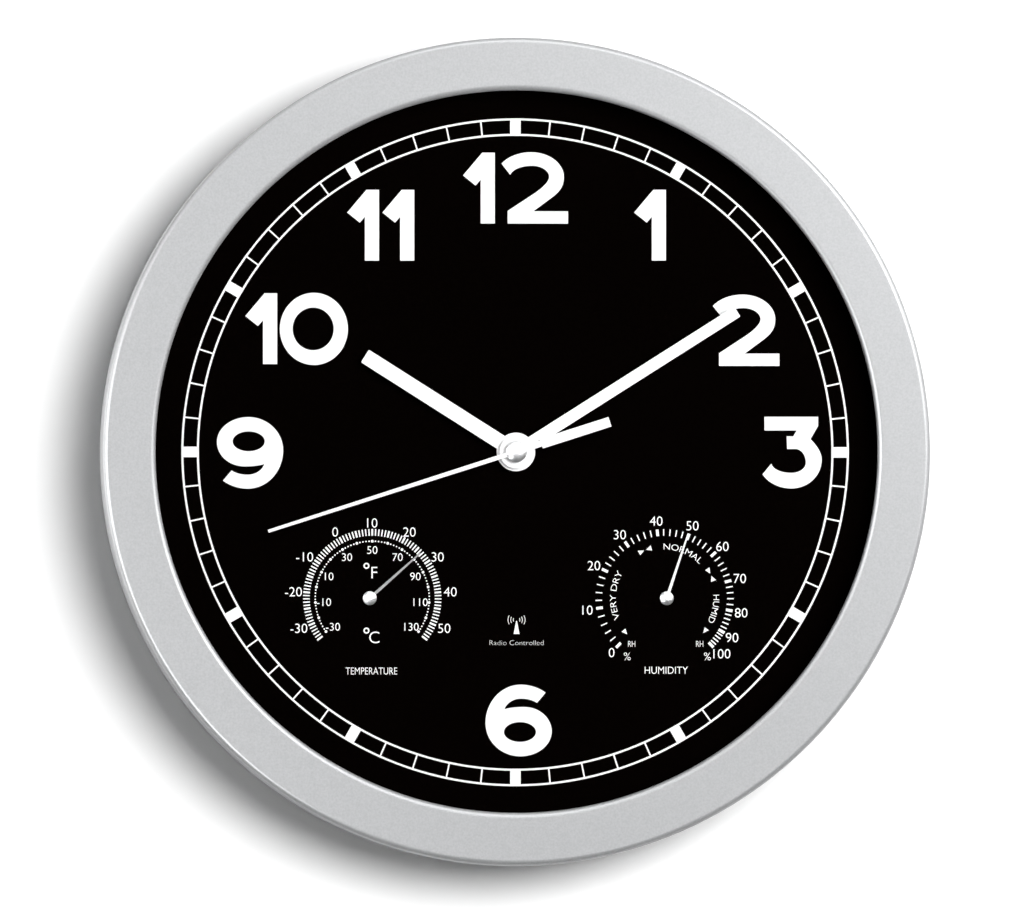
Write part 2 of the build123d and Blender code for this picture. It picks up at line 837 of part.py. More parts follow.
def gauge_cup(place):
    """The moulded cup of a gauge: a base with the front bearing, a vented wall and two screw ears."""
    direction = math.degrees(math.atan2(place[1], place[0]))
    ears = Pos(*place, 0) * Rot(0, 0, direction) * SlotCenterToCenter(2 * ear_reach, 2 * ear_radius)
    cup = disc(cup_radius, cup_base, floor_back, place) + slab(ears, cup_base, floor_back)
    cup += tube(cup_radius, cup_radius - cup_wall, cup_back, floor_back, place)
    cup += disc(gauge_boss_radius, cup_base - gauge_inner_boss, floor_front, place)
    cup -= hole(gauge_arbor_radius + pivot_gap, cup_base - gauge_inner_boss, floor_front, place)
    vent_at = Pos(cup_radius - cup_wall / 2, 0, (cup_back + cup_base) / 2)
    vent = vent_at * Box(cup_wall + 2 * overrun, cup_vent_width, cup_vent_height)
    vent_step = 360 / cup_vent_count
    for number in range(cup_vent_count):
        cup -= Pos(*place, 0) * Rot(0, 0, vent_step / 2 + number * vent_step) * vent
    for ear in ear_places(place):
        cup -= hole(gauge_screw_radius + screw_hole_gap, cup_base, floor_back, ear)
    return cup


def gauge_bridge(place):
    """The bar across the open back of a cup: the rear bearing and the post at the end of the spiral."""
    bar = Rectangle(2 * cup_radius, bridge_width) & Circle(cup_radius)
    bridge = Pos(*place, 0) * slab(bar, bridge_back, cup_back)
    post_reach = spiral_outer_radius + spiral_thickness / 2 + pivot_gap + spiral_post_radius
    bridge += disc(spiral_post_radius, cup_back, spiral_high, (place[0] - post_reach, place[1]))
    return bridge - hole(gauge_arbor_radius + pivot_gap, bridge_back, cup_back, place)


def gauge_spiral(place):
    """A flat strip wound into a spiral of half turns, each one wider than the last by half the pitch."""
    half_turns = round(2 * spiral_turns)
    growth = (spiral_outer_radius - spiral_inner_radius) / (half_turns - 1)
    edges = Curve()
    for side in (-1, 1):
        for number in range(half_turns):
            lower = number % 2
            radius = spiral_inner_radius + number * growth + side * spiral_thickness / 2
            edges += CenterArc((lower * growth, 0), radius, lower * 180, 180)
    half = spiral_thickness / 2
    edges += Line((spiral_inner_radius - half, 0), (spiral_inner_radius + half, 0))
    edges += Line((-spiral_outer_radius - half, 0), (-spiral_outer_radius + half, 0))
    return Pos(*place, 0) * slab(make_face(edges), spiral_low, spiral_high)


def gauge_arbor(place):
    """The pin that carries a pointer, with the collet that the inner end of the spiral is fixed to."""
    pin = disc(gauge_arbor_radius, bridge_back, pointer_back, place)
    return pin + disc(collet_radius, cup_back + collet_end_gap, spiral_high + collet_end_gap, place)


def gauge_pointer(place, angle):
    """A tapered needle with a small round root."""
    needle = outline_of([
        (-pointer_root_width / 2, 0),
        (pointer_root_width / 2, 0),
        (pointer_tip_width / 2, pointer_length),
        (-pointer_tip_width / 2, pointer_length),
    ])
    outline = Rot(0, 0, -angle) * (needle + Circle(collet_radius))
    return Pos(*place, 0) * slab(outline, pointer_back, pointer_back + pointer_thickness)


def gauge_hub(place):
    base = pointer_back + pointer_thickness
    return Pos(*place, 0) * dome(pointer_hub_radius, pointer_hub_edge, pointer_hub_dome, base)


def gauge_screws():
    head = (gauge_screw_head_radius, gauge_screw_head_height, gauge_screw_radius)
    ears = [ear for place in gauge_places() for ear in ear_places(place)]
    return Compound([screw(ear, *head, cup_base, gauge_screw_length) for ear in ears])


def bar_hand(length, width, hub, angle, back, shaft_radius):
    """A straight hand with a round hub, on a short collet that is pushed onto its tube."""
    bar = Pos(0, length / 2, 0) * Rectangle(width, length)
    bar = fillet(bar.vertices().group_by(Axis.Y)[-1], hand_tip_round)
    bore = shaft_radius + push_fit
    outline = Rot(0, 0, -angle) * (bar + Circle(hub)) - Circle(bore)
    collet = tube(bore + collet_wall, bore, back - collet_rise, back)
    return slab(outline, back, back + hand_thickness) + collet


def hour_hand():
    size = (hour_hand_length, hour_hand_width, hour_hub_radius, hour_hand_angle)
    return bar_hand(*size, hour_hand_back, hour_tube_radius)


def minute_hand():
    size = (minute_hand_length, minute_hand_width, minute_hub_radius, minute_hand_angle)
    return bar_hand(*size, minute_hand_back, minute_tube_radius)


def second_hand():
    """A tapered needle with a narrow neck and a wider counterweight bar behind the hub."""
    needle = outline_of([
        (-second_hand_root_width / 2, 0),
        (second_hand_root_width / 2, 0),
        (second_hand_tip_width / 2, second_hand_length),
        (-second_hand_tip_width / 2, second_hand_length),
    ])
    neck = Pos(0, -second_tail_start / 2, 0) * Rectangle(second_neck_width, second_tail_start)
    bar_middle = (second_tail_start + second_tail_length) / 2
    bar = Pos(0, -bar_middle, 0) * Rectangle(second_tail_width, second_tail_length - second_tail_start)
    bore = arbor_radius + push_fit
    shape = needle + neck + bar + Circle(second_hub_radius)
    outline = Rot(0, 0, -second_hand_angle) * shape - Circle(bore)
    collet = tube(bore + collet_wall, bore, second_hand_back - collet_rise, second_hand_back)
    return slab(outline, second_hand_back, second_hand_front) + collet


def second_hand_cap():
    return dome(cap_radius, cap_edge, cap_dome, second_hand_front)


def seconds_wheel():
    hub = disc(hub_radius, seconds_level, seconds_level + wheel_thickness)
    pin = disc(arbor_radius, rear_inner + pivot_end_gap, second_hand_front)
    return wheel(slow_wheel_teeth, centre_module, 0, seconds_level, centre) + hub + pin


def centre_wheel():
    """The wheel that turns once an hour, with its cannon pinion and the tube of the minute hand."""
    back = centre_level - wheel_thickness / 2
    body = wheel(slow_wheel_teeth, centre_module, 0, centre_level, centre)
    body += pinion(cannon_teeth, motion_module, 0, minute_level, centre)
    body += disc(minute_tube_radius, back, minute_tube_front)
    return body - hole(minute_tube_bore, back, minute_tube_front)


def hour_wheel():
    """The wheel that turns once in twelve hours, with the tube that carries the hour hand."""
    back = hour_level - wheel_thickness / 2
    body = wheel(hour_wheel_teeth, motion_module, 0, hour_level, centre)
    body += disc(hour_tube_radius, back, hour_tube_front)
    return body - hole(minute_tube_radius + tube_gap, back, hour_tube_front)


def minute_wheel():
    wheel_spec = (minute_wheel_teeth, motion_module, minute_wheel_phase, minute_level)
    pinion_spec = (pinion_teeth, motion_module, minute_pinion_phase, hour_level)
    return wheel_and_pinion(minute_wheel_at, wheel_spec, pinion_spec)


def third_wheel():
    wheel_spec = (fast_wheel_teeth, third_module, 0, third_level)
    pinion_spec = (pinion_teeth, centre_module, third_pinion_phase, centre_level)
    return wheel_and_pinion(third_at, wheel_spec, pinion_spec)


def minutes_intermediate_wheel():
    wheel_spec = (fast_wheel_teeth, rotor_module, 0, minutes_first_level)
    pinion_spec = (pinion_teeth, third_module, minutes_pinion_phase, third_level)
    return wheel_and_pinion(minutes_first_at, wheel_spec, pinion_spec)


def seconds_intermediate_wheel():
    wheel_spec = (fast_wheel_teeth, rotor_module, 0, seconds_first_level)
    pinion_spec = (pinion_teeth, centre_module, seconds_pinion_phase, seconds_level)
    return wheel_and_pinion(seconds_first_at, wheel_spec, pinion_spec)


def minutes_rotor():
    return rotor(minutes_rotor_at, minutes_rotor_phase, minutes_first_level, minutes_magnet_height)


def seconds_rotor():
    return rotor(seconds_rotor_at, seconds_rotor_phase, seconds_first_level, seconds_magnet_height)


pieces = {
    "bezel_ring": bezel_ring(),
    "front_lens": front_lens(),
    "dial_spacer": dial_spacer(),
    "dial_plate": dial_plate(),
    "rear_cover": rear_cover(),
    "case_screws": case_screws(),
    "hanger_plate": hanger_plate(),
    "hanger_screws": hanger_screws(),
    "movement_front_shell": movement_front_shell(),
    "movement_rear_shell": movement_rear_shell(),
    "threaded_bushing": threaded_bushing(),
    "rubber_washer": rubber_washer(),
    "dial_washer": dial_washer(),
    "hex_nut": hex_nut(),
    "seconds_stator": stator(seconds_motor, seconds_magnet_height),
    "seconds_coil": motor_coil(seconds_motor, seconds_magnet_height),
    "seconds_rotor": seconds_rotor(),
    "seconds_intermediate_wheel": seconds_intermediate_wheel(),
    "seconds_wheel": seconds_wheel(),
    "minutes_stator": stator(minutes_motor, minutes_magnet_height),
    "minutes_coil": motor_coil(minutes_motor, minutes_magnet_height),
    "minutes_rotor": minutes_rotor(),
    "minutes_intermediate_wheel": minutes_intermediate_wheel(),
    "third_wheel": third_wheel(),
    "centre_wheel": centre_wheel(),
    "minute_wheel": minute_wheel(),
    "hour_wheel": hour_wheel(),
    "antenna_rod": antenna_rod(),
    "antenna_winding": antenna_winding(),
    "circuit_board": circuit_board(),
    "positive_contact": positive_contact(),
    "negative_contact": negative_contact(),
    "battery_cell": battery_cell(),
    "hour_hand": hour_hand(),
    "minute_hand": minute_hand(),
    "second_hand": second_hand(),
    "second_hand_cap": second_hand_cap(),
    "gauge_screws": gauge_screws(),
}
for name, place in zip(("receive_button", "reset_button", "set_button"), button_places):
    pieces[name] = push_button(place)
gauge_angles = {"thermometer": thermometer_angle, "hygrometer": hygrometer_angle}
for (name, angle), place in zip(gauge_angles.items(), gauge_places()):
    pieces[name + "_cup"] = gauge_cup(place)
    pieces[name + "_bridge"] = gauge_bridge(place)
    pieces[name + "_spiral"] = gauge_spiral(place)
    pieces[name + "_arbor"] = gauge_arbor(place)
    pieces[name + "_pointer"] = gauge_pointer(place, angle)
    pieces[name + "_hub"] = gauge_hub(place)

# The clock is stood up against the wall and each piece is written
stand_up = Plane.XZ.location
os.makedirs("parts", exist_ok=True)
for name, piece in pieces.items():
    export_step(stand_up * piece, f"parts/{name}.step")
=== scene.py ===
import json
import math
import bmesh
import bpy
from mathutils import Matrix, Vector
from mathutils.geometry import tessellate_polygon


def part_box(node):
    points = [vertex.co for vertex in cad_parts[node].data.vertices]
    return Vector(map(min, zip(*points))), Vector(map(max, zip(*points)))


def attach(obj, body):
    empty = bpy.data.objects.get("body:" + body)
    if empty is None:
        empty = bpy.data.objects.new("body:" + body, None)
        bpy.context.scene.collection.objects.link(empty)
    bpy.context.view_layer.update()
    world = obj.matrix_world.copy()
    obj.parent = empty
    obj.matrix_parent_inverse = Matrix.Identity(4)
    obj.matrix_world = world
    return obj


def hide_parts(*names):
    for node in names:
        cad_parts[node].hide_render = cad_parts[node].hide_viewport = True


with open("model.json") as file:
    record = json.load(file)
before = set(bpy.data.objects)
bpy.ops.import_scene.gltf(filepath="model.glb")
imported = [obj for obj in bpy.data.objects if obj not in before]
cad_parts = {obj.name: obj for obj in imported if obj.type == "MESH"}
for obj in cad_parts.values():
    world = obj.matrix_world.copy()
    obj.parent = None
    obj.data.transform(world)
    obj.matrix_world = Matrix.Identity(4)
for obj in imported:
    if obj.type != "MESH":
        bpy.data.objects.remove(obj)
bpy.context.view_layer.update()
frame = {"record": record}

# Flat shapes are drawn in millimetres, x to the right and y up, about the axis of the hands.
# A shape is a pair: its points, and its faces as tuples of point numbers.
MM = 0.001

# Round stretches: degrees for a step of an arc, and steps of a curve and of a rounded corner
ARC_STEP = 6.0
CURVE_STEPS = 10
ROUND_STEPS = 10

# The least angle between two faces, in degrees, that shows as a sharp corner
SHARP_ANGLE = 35

# The built-in font: the height of its capitals at size 1, two weights, and how it is meshed
CAPITAL = 0.729
LETTER_WEIGHT = -0.008
FINE_WEIGHT = -0.024
LETTER_STEPS = 4
LETTER_WELD = 1e-5

# Print on the dial
PRINT_RISE = 0.05
PRINT_SINK = 0.02
TRACK_OUTER = 120.7
TRACK_INNER = 114.4
TRACK_LINE = 0.7
MINUTE_TICK = 0.55
HOUR_TICK = 3.8
NUMERAL_HEIGHT = 25.6
NUMERALS = {
    "12": (-18.98, 82.66),
    "1": (42.95, 69.35),
    "2": (71.46, 31.26),
    "3": (89.4, -13.07),
    "6": (-10.83, -109.9),
    "9": (-107.9, -13.26),
    "10": (-97.65, 31.76),
    "11": (-60.85, 69.2),
}
STEP_AFTER_ONE = {"2": 0.544, "1": 0.498, "0": 0.487}

# Print of the two gauges
GAUGE_SHIFTS = {"thermometer": 0.95, "hygrometer": -0.75}
SCALE_OUTER = 25.0
SCALE_INNER = 22.6
CELSIUS_RADII = (28.3, 27.3)
HUMIDITY_LABEL_RADIUS = 28.2
LABEL_HEIGHT = 3.6
CELSIUS_NUDGES = {-30: (-0.5, 0), -20: (-0.3, 0), -10: (-0.8, 0)}
HUMIDITY_NUDGES = {0: (0.6, 0.6), 100: (0.8, 0)}
DEGREES_PER_CELSIUS = 2.83
TOP_CELSIUS = 10
CELSIUS_ENDS = (-35, 55)
CELSIUS_TICKS = (0.45, 0.65)
FAHRENHEIT_RADIUS = 20.6
FAHRENHEIT_LABEL_RADIUS = 17.5
FAHRENHEIT_LABEL_HEIGHT = 3.0
TOP_FAHRENHEIT = 50
FAHRENHEIT_ENDS = (-30, 130)
FAHRENHEIT_DOTS = (0.27, 0.48)
UNIT_RISES = {"F": 9.4, "C": -14.0}
UNIT_SHIFT = 0.74
UNIT_HEIGHT = 4.5
DEGREE_SIGN_AT = (-2.1, 2.3)
DEGREE_SIGN_RADII = (1.1, 0.6)
HUMIDITY_TICKS = (0.42, 1.0)
HUMIDITY_ANGLES = [-135.5, -98.5, -65.0, -35.0, -6.2, 21.0, 48.0, 75.0, 100.5, 120.0, 135.0]
ZONE_RADIUS = 18.8
ZONE_HEIGHT = 2.35
ARROW_TIP = 1.1
ARROW_TAIL = 0.9
ARROW_HALF = 0.95
WORD_HEIGHT = 2.75

# Zones of the humidity scale: a word and its width, and the angles of its ends and its middle
HUMIDITY_ZONES = [
    ("VERY DRY", 18.0, -130.5, -26.7, -86.5),
    ("NORMAL", 15.2, -17.4, 58.1, 22.1),
    ("HUMID", 10.4, 67.7, 128.5, 102.0),
]

# Signs at both ends of the humidity scale: text, height, width, distance to a side, shift and rise
HUMIDITY_SIGNS = [
    ("%", 3.0, None, 14.5, 1.0, -20.9),
    ("RH", 2.3, 2.6, 12.3, 0.4, -16.4),
]

# The word under each gauge: its text, width, shift and rise
GAUGE_WORDS = {
    "thermometer": ("TEMPERATURE", 18.6, -0.3, -26.2),
    "hygrometer": ("HUMIDITY", 15.6, 0.6, -25.9),
}

# The radio signal's mark: a mast with waves, each a radius and half an angle, and words under it
SIGNAL_X = 0.4
MAST_ENDS = (-65.7, -61.0)
MAST_HALVES = (1.05, 0.15)
WAVES_Y = -60.6
WAVES = [(1.2, 30), (2.1, 32), (3.1, 31)]
WAVE_HALF = 0.1
SIGNAL_WORDS = "Radio Controlled"
SIGNAL_WORDS_SIZE = (1.9, 19.5)
SIGNAL_WORDS_Y = -68.8

# Marks on the back of the movement and on the cell
MARK_RISE = 0.15
MARK_SIZE = 3.2
MARK_GAP = 4.0
SIGN_REACH = 0.5
SIGN_HALF = 0.11
BUTTON_WORD_HEIGHT = 1.7
BUTTON_WORDS = {"receive_button": "REC", "reset_button": "RESET", "set_button": "SET"}
CELL_MARK_INSET = 7.0

# The section of the bezel ring: radius, height from the wall and rounding of each corner
RING_SECTION = [
    (150.0, 0, 0.6),
    (149.2, 42.9, 2.0),
    (130.2, 42.9, 2.0),
    (130.2, 40.4, 0),
    (136.0, 40.4, 0),
    (136.0, 26.0, 0),
    (138.0, 26.0, 0),
    (138.0, 39.9, 0),
    (146.9, 39.9, 1.0),
    (147.7, 0, 0),
]
RING_SIDES = 288

# The ring's bosses, each with a blind hole for a screw
BOSS_SECTION = [(1.25, 36.2), (1.25, 25.7), (3.5, 25.7), (3.5, 40.0)]
BOSS_CIRCLE = 142.45
BOSS_ANGLES = [15, 75, 135, 195, 255, 315]

# Screws. The shares are of the radius of the shank or the head, or of the height of the head.
SCREW_SIDES = 32
WELD = 0.001
THREAD_PITCH = 0.6
THREAD_ROOT_SHARE = 0.8
POINT_LENGTH_SHARE = 1.5
POINT_TIP_SHARE = 1 / 3
HEAD_RIM_SHARE = 0.9
CROWN_ROUND_SHARE = 0.7
CROSS_REACH_SHARE = 0.58
CROSS_WIDTH_SHARE = 0.17
CROSS_DEPTH_SHARE = 0.6
CROSS_FOOT_SHARE = 0.8

# The range that most of a noise lies in
NOISE_LOW = 0.3
NOISE_HIGH = 0.7

# Glass: its refractive index, and its share of mirrored light at each slant
GLASS_INDEX = 1.5
MIRROR_SHARES = [(0.35, 0.0), (0.5, 0.03), (0.75, 0.22), (0.9, 0.6), (1.0, 1.0)]

# Camera and studio, in metres and degrees
SENSOR = 36.0
CAMERA_DISTANCE = 5.0
CAMERA_LEFT = 2.2
CAMERA_BELOW = 1.0
VIEW_WIDTH = 0.3721
VIEW_CENTRE = (-0.0002, 0.0, -0.0020)
WALL_GAP = 0.0005
WALL_SIZE = 1.8
WALL_HOLE = 0.14
WALL_BOUNCE = 0.9
WALL_SEEN = 1.07
FLOOR_DROP = 0.3
FLOOR_SIZE = 8.0
AMBIENT = 0.07

# Lamps that gloss doesn't show: a name, a place, a width and a height, and a power
KEY_LAMP = ("key", (0.52, -1.6, 0.27), (1.08, 0.86), 36)
REAR_LAMP = ("rear", (-0.9, 2.3, 0.9), (0.8, 0.8), 50)

# Cards that only gloss shows
GLOSS_CARDS = [
    ("left_card", (-0.75, -0.95, -0.15), (0.6, 0.6), 7.5),
    ("right_card", (0.68, -1.0, 0.4), (0.6, 0.6), 6),
    ("left_wing", (-1.08, -0.75, -0.1), (1.1, 1.5), 12),
    ("right_wing", (0.95, -0.75, 0.55), (1.2, 1.2), 9),
    ("top_card", (0.0, -0.8, 1.0), (0.8, 0.5), 4),
]

# Cards for the ring's side and edge alone, whose light the ring doesn't pass on to the wall
RIM_CARDS = [
    ("left_rim", (-1.4, 0.6, 0.0), (1.0, 1.0), 22),
    ("low_rim", (-0.26, -0.3, -0.26), (0.2, 0.08), 0.5),
]


def arc(centre, radii, start, end):
    """Points on an ellipse between two angles, anticlockwise from the right."""
    steps = max(2, math.ceil(abs(end - start) / ARC_STEP))
    turns = [math.radians(start + (end - start) * step / steps) for step in range(steps + 1)]
    return [(centre[0] + radii[0] * math.cos(t), centre[1] + radii[1] * math.sin(t)) for t in turns]


def oval(centre, radii):
    """The outline of an oval."""
    return arc(centre, radii, 0, 360)[:-1]


def circle(centre, radius):
    """The outline of a circle."""
    return oval(centre, (radius, radius))


def curve(start, first, second, end):
    """Points on a cubic curve, without its start."""
    points = []
    for step in range(1, CURVE_STEPS + 1):
        t = step / CURVE_STEPS
        weights = ((1 - t) ** 3, 3 * t * (1 - t) ** 2, 3 * t * t * (1 - t), t ** 3)
        knots = (start, first, second, end)
        points.append(tuple(sum(w * k[axis] for w, k in zip(weights, knots)) for axis in (0, 1)))
    return points


def on_oval(radii, angle, centre=(0, 0)):
    """The point of an oval at a clock angle: degrees clockwise from the top."""
    turn = math.radians(angle)
    return (centre[0] + radii[0] * math.sin(turn), centre[1] + radii[1] * math.cos(turn))


def on_dial(radius, angle, centre=(0, 0)):
    """The point of a circle at a clock angle."""
    return on_oval((radius, radius), angle, centre)


def filled(outline, *holes):
    """A shape from a closed outline and its holes."""
    loops = [without_repeats(loop) for loop in (outline, *holes)]
    points = [point for loop in loops for point in loop]
    faces = tessellate_polygon([[Vector((x, y, 0)) for x, y in loop] for loop in loops])
    return points, [tuple(face) for face in faces]


def without_repeats(loop):
    """A closed loop with no point that repeats the one before it."""
    least = 1e-6
    return [point for number, point in enumerate(loop) if math.dist(point, loop[number - 1]) > least]


def joined(shapes):
    """One shape made of several."""
    points, faces = [], []
    for shape_points, shape_faces in shapes:
        first = len(points)
        points += shape_points
        faces += [tuple(first + number for number in face) for face in shape_faces]
    return points, faces


def mapped(shape, place):
    """The shape with each point moved by a function."""
    return [place(point) for point in shape[0]], shape[1]


def moved(shape, at, size=1.0, turn=0.0):
    """The shape scaled, turned clockwise and then put at a point."""
    cos, sin = math.cos(math.radians(turn)), math.sin(math.radians(turn))

    def place(point):
        x, y = size * point[0], size * point[1]
        return (at[0] + x * cos + y * sin, at[1] - x * sin + y * cos)

    return mapped(shape, place)


def bent(shape, radius, angle, centre):
    """The shape wrapped round a circle, its middle at a clock angle and its top outward."""
    return mapped(shape, lambda p: on_dial(radius + p[1], angle + math.degrees(p[0] / radius), centre))


def bar(centre, inner, outer, width, angle):
    """A radial tick."""
    half = width / 2
    outline = [(-half, inner), (half, inner), (half, outer), (-half, outer)]
    return moved(filled(outline), centre, turn=angle)


def letters(text, height, width=None, weight=LETTER_WEIGHT):
    """A line of the built-in font, centred, at a height of capitals and if given a total width."""
    data = bpy.data.curves.new("line", "FONT")
    data.body = text
    data.resolution_u = LETTER_STEPS
    data.offset = weight
    line = bpy.data.objects.new("line", data)
    mesh = bpy.data.meshes.new_from_object(line)
    flat = bmesh.new()
    flat.from_mesh(mesh)
    bmesh.ops.remove_doubles(flat, verts=flat.verts, dist=LETTER_WELD)
    bmesh.ops.dissolve_degenerate(flat, edges=flat.edges, dist=LETTER_WELD)
    flat.verts.index_update()
    points = [tuple(vert.co.xy) for vert in flat.verts]
    faces = [tuple(vert.index for vert in face.verts) for face in flat.faces]
    flat.free()
    bpy.data.objects.remove(line)
    bpy.data.curves.remove(data)
    bpy.data.meshes.remove(mesh)
    left, right = min(p[0] for p in points), max(p[0] for p in points)
    grow = height / CAPITAL
    squeeze = width / (right - left) if width else grow
    middle = (left + right) / 2
    return [((x - middle) * squeeze, (y - CAPITAL / 2) * grow) for x, y in points], faces


def body_of(shape, low, high, place):
    """A closed mesh: the shape at two levels, with walls round its border, put in place by a function."""
    points, faces = shape
    solid = bmesh.new()
    lower = [solid.verts.new(place(x, y, low)) for x, y in points]
    upper = [solid.verts.new(place(x, y, high)) for x, y in points]
    border = {}
    for face in faces:
        solid.faces.new([upper[number] for number in face])
        solid.faces.new([lower[number] for number in reversed(face)])
        for edge in zip(face, face[1:] + face[:1]):
            key = frozenset(edge)
            border[key] = None if key in border else edge
    for edge in border.values():
        if edge:
            a, b = edge
            solid.faces.new([lower[a], lower[b], upper[b], upper[a]])
    bmesh.ops.recalc_face_normals(solid, faces=solid.faces)
    return solid


def lathe(solid, section, centre, sides):
    """A section turned about an axis along Y: a ring of points for each of its points, joined by faces."""
    x, z = centre
    turns = [math.tau * side / sides for side in range(sides)]
    ways = [(math.cos(turn), math.sin(turn)) for turn in turns]
    rings = []
    for radius, y in section:
        rings.append([solid.verts.new((x + radius * cos, y, z + radius * sin)) for cos, sin in ways])
    for low, high in zip(rings, rings[1:]):
        join_rings(solid, low, high)
    return rings


def join_rings(solid, low, high):
    """A band of faces between two rings of points."""
    for side in range(len(low)):
        solid.faces.new([low[side - 1], low[side], high[side], high[side - 1]])


def rounded(corners):
    """A closed outline whose corners have their own rounding."""
    outline = []
    shares = [step / ROUND_STEPS for step in range(ROUND_STEPS + 1)]
    befores, afters = corners[-1:] + corners[:-1], corners[1:] + corners[:1]
    for before, (x, y, size), after in zip(befores, corners, afters):
        here = Vector((x, y))
        back, ahead = ((Vector(end[:2]) - here).normalized() for end in (before, after))
        if not size:
            outline.append((x, y))
            continue
        half = back.angle(ahead) / 2
        centre = here + (back + ahead).normalized() * size / math.sin(half)
        start, end = ((here + way * size / math.tan(half) - centre).normalized() for way in (back, ahead))
        outline += [tuple(centre + size * start.slerp(end, share)) for share in shares]
    return outline


def smooth(piece):
    """Smooth shading that keeps flat faces flat and sharp corners sharp."""
    piece.data.shade_smooth()
    piece.data.set_sharp_from_angle(angle=math.radians(SHARP_ANGLE))
    piece.modifiers.new("weighted", "WEIGHTED_NORMAL").keep_sharp = True


def add_piece(name, solid, material, body):
    """A finished mesh as a piece that rides on a body of the frame."""
    mesh = bpy.data.meshes.new(name)
    solid.to_mesh(mesh)
    solid.free()
    mesh.materials.append(material)
    piece = bpy.data.objects.new(name, mesh)
    bpy.context.scene.collection.objects.link(piece)
    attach(piece, body)
    return piece


def grey(level):
    """A colour without hue."""
    return (level, level, level)


def finish(name, **constants):
    """A new material and its shader, with each constant on the shader's own socket."""
    material = bpy.data.materials.new(name)
    material.use_nodes = True
    shader = material.node_tree.nodes["Principled BSDF"]
    for socket, value in constants.items():
        shader.inputs[socket.replace("_", " ")].default_value = value
    return material, shader


def grain(material, size, stretch=(1, 1, 1), detail=2.0):
    """Noise whose features are about one size across, in millimetres, drawn out along some axes."""
    tree = material.node_tree
    place = tree.nodes.new("ShaderNodeTexCoord")
    mapping = tree.nodes.new("ShaderNodeMapping")
    mapping.inputs["Scale"].default_value = [1 / s for s in stretch]
    noise = tree.nodes.new("ShaderNodeTexNoise")
    noise.inputs["Scale"].default_value = 1 / (size * MM)
    noise.inputs["Detail"].default_value = detail
    tree.links.new(place.outputs["Object"], mapping.inputs["Vector"])
    tree.links.new(mapping.outputs["Vector"], noise.inputs["Vector"])
    return noise.outputs["Fac"]


def ramp(material, factor, stops, steps="LINEAR"):
    """Colours at places along a factor, blended or in steps."""
    node = material.node_tree.nodes.new("ShaderNodeValToRGB")
    node.color_ramp.interpolation = steps
    elements = node.color_ramp.elements
    for number, (at, colour) in enumerate(stops):
        element = elements[number] if number < 2 else elements.new(at)
        element.position = at
        element.color = (*colour, 1)
    material.node_tree.links.new(factor, node.inputs["Fac"])
    return node.outputs["Color"]


def spread(tree, factor, low, high, start=0.0, end=1.0):
    """A number that goes from low to high, and no further, as a factor goes from start to end."""
    node = tree.nodes.new("ShaderNodeMapRange")
    for socket, value in (("From Min", start), ("From Max", end), ("To Min", low), ("To Max", high)):
        node.inputs[socket].default_value = value
    tree.links.new(factor, node.inputs["Value"])
    return node.outputs["Result"]


def combine(tree, operation, first, second):
    """One operation of arithmetic on two outputs."""
    node = tree.nodes.new("ShaderNodeMath")
    node.operation = operation
    tree.links.new(first, node.inputs[0])
    tree.links.new(second, node.inputs[1])
    return node.outputs["Value"]


def blend(tree, factor, first, second):
    """A mix of two shaders by a factor."""
    node = tree.nodes.new("ShaderNodeMixShader")
    tree.links.new(factor, node.inputs["Fac"])
    tree.links.new(first, node.inputs[1])
    tree.links.new(second, node.inputs[2])
    return node.outputs["Shader"]


def tint(material, shader, factor, dark, light):
    """The base colour, between two colours by a noise."""
    colour = ramp(material, factor, [(NOISE_LOW, dark), (NOISE_HIGH, light)])
    material.node_tree.links.new(colour, shader.inputs["Base Color"])


def vary(material, socket, factor, low, high):
    """A number on a socket of the shader, between two values by a noise."""
    number = spread(material.node_tree, factor, low, high, NOISE_LOW, NOISE_HIGH)
    material.node_tree.links.new(number, socket)


def dent(material, shader, factor, depth, strength=1.0):
    """Small hollows of a depth in millimetres."""
    bump = material.node_tree.nodes.new("ShaderNodeBump")
    bump.inputs["Distance"].default_value = depth * MM
    bump.inputs["Strength"].default_value = strength
    material.node_tree.links.new(factor, bump.inputs["Height"])
    material.node_tree.links.new(bump.outputs["Normal"], shader.inputs["Normal"])


def moulded(name, dark, light, gloss=(0.5, 0.65), texture=0.35, depth=0.02):
    """Moulded plastic: a fine spark-eroded texture and faint clouds from the flow of the melt."""
    material, shader = finish(name)
    flow = grain(material, size=18, stretch=(1, 1, 0.5))
    spark = grain(material, size=texture)
    tint(material, shader, flow, dark, light)
    vary(material, shader.inputs["Roughness"], flow, *gloss)
    dent(material, shader, spark, depth, strength=0.5)
    return material


def metal(name, dark, light, gloss=(0.25, 0.4), size=0.5, stretch=(1, 1, 1), depth=0.01):
    """Bare or plated metal with a grain that may be drawn out along an axis."""
    material, shader = finish(name, Metallic=1.0)
    lines = grain(material, size, stretch, detail=4.0)
    tint(material, shader, lines, dark, light)
    vary(material, shader.inputs["Roughness"], lines, *gloss)
    dent(material, shader, lines, depth, strength=0.4)
    return material


def lacquer(name, dark, light, gloss, metallic=0.0, size=0.3, depth=0.01):
    """Sprayed lacquer: a fine grain with a slight orange peel."""
    material, shader = finish(name, Metallic=metallic)
    flakes = grain(material, size, detail=4.0)
    tint(material, shader, flakes, dark, light)
    vary(material, shader.inputs["Roughness"], flakes, *gloss)
    dent(material, shader, flakes, depth, strength=0.5)
    return material


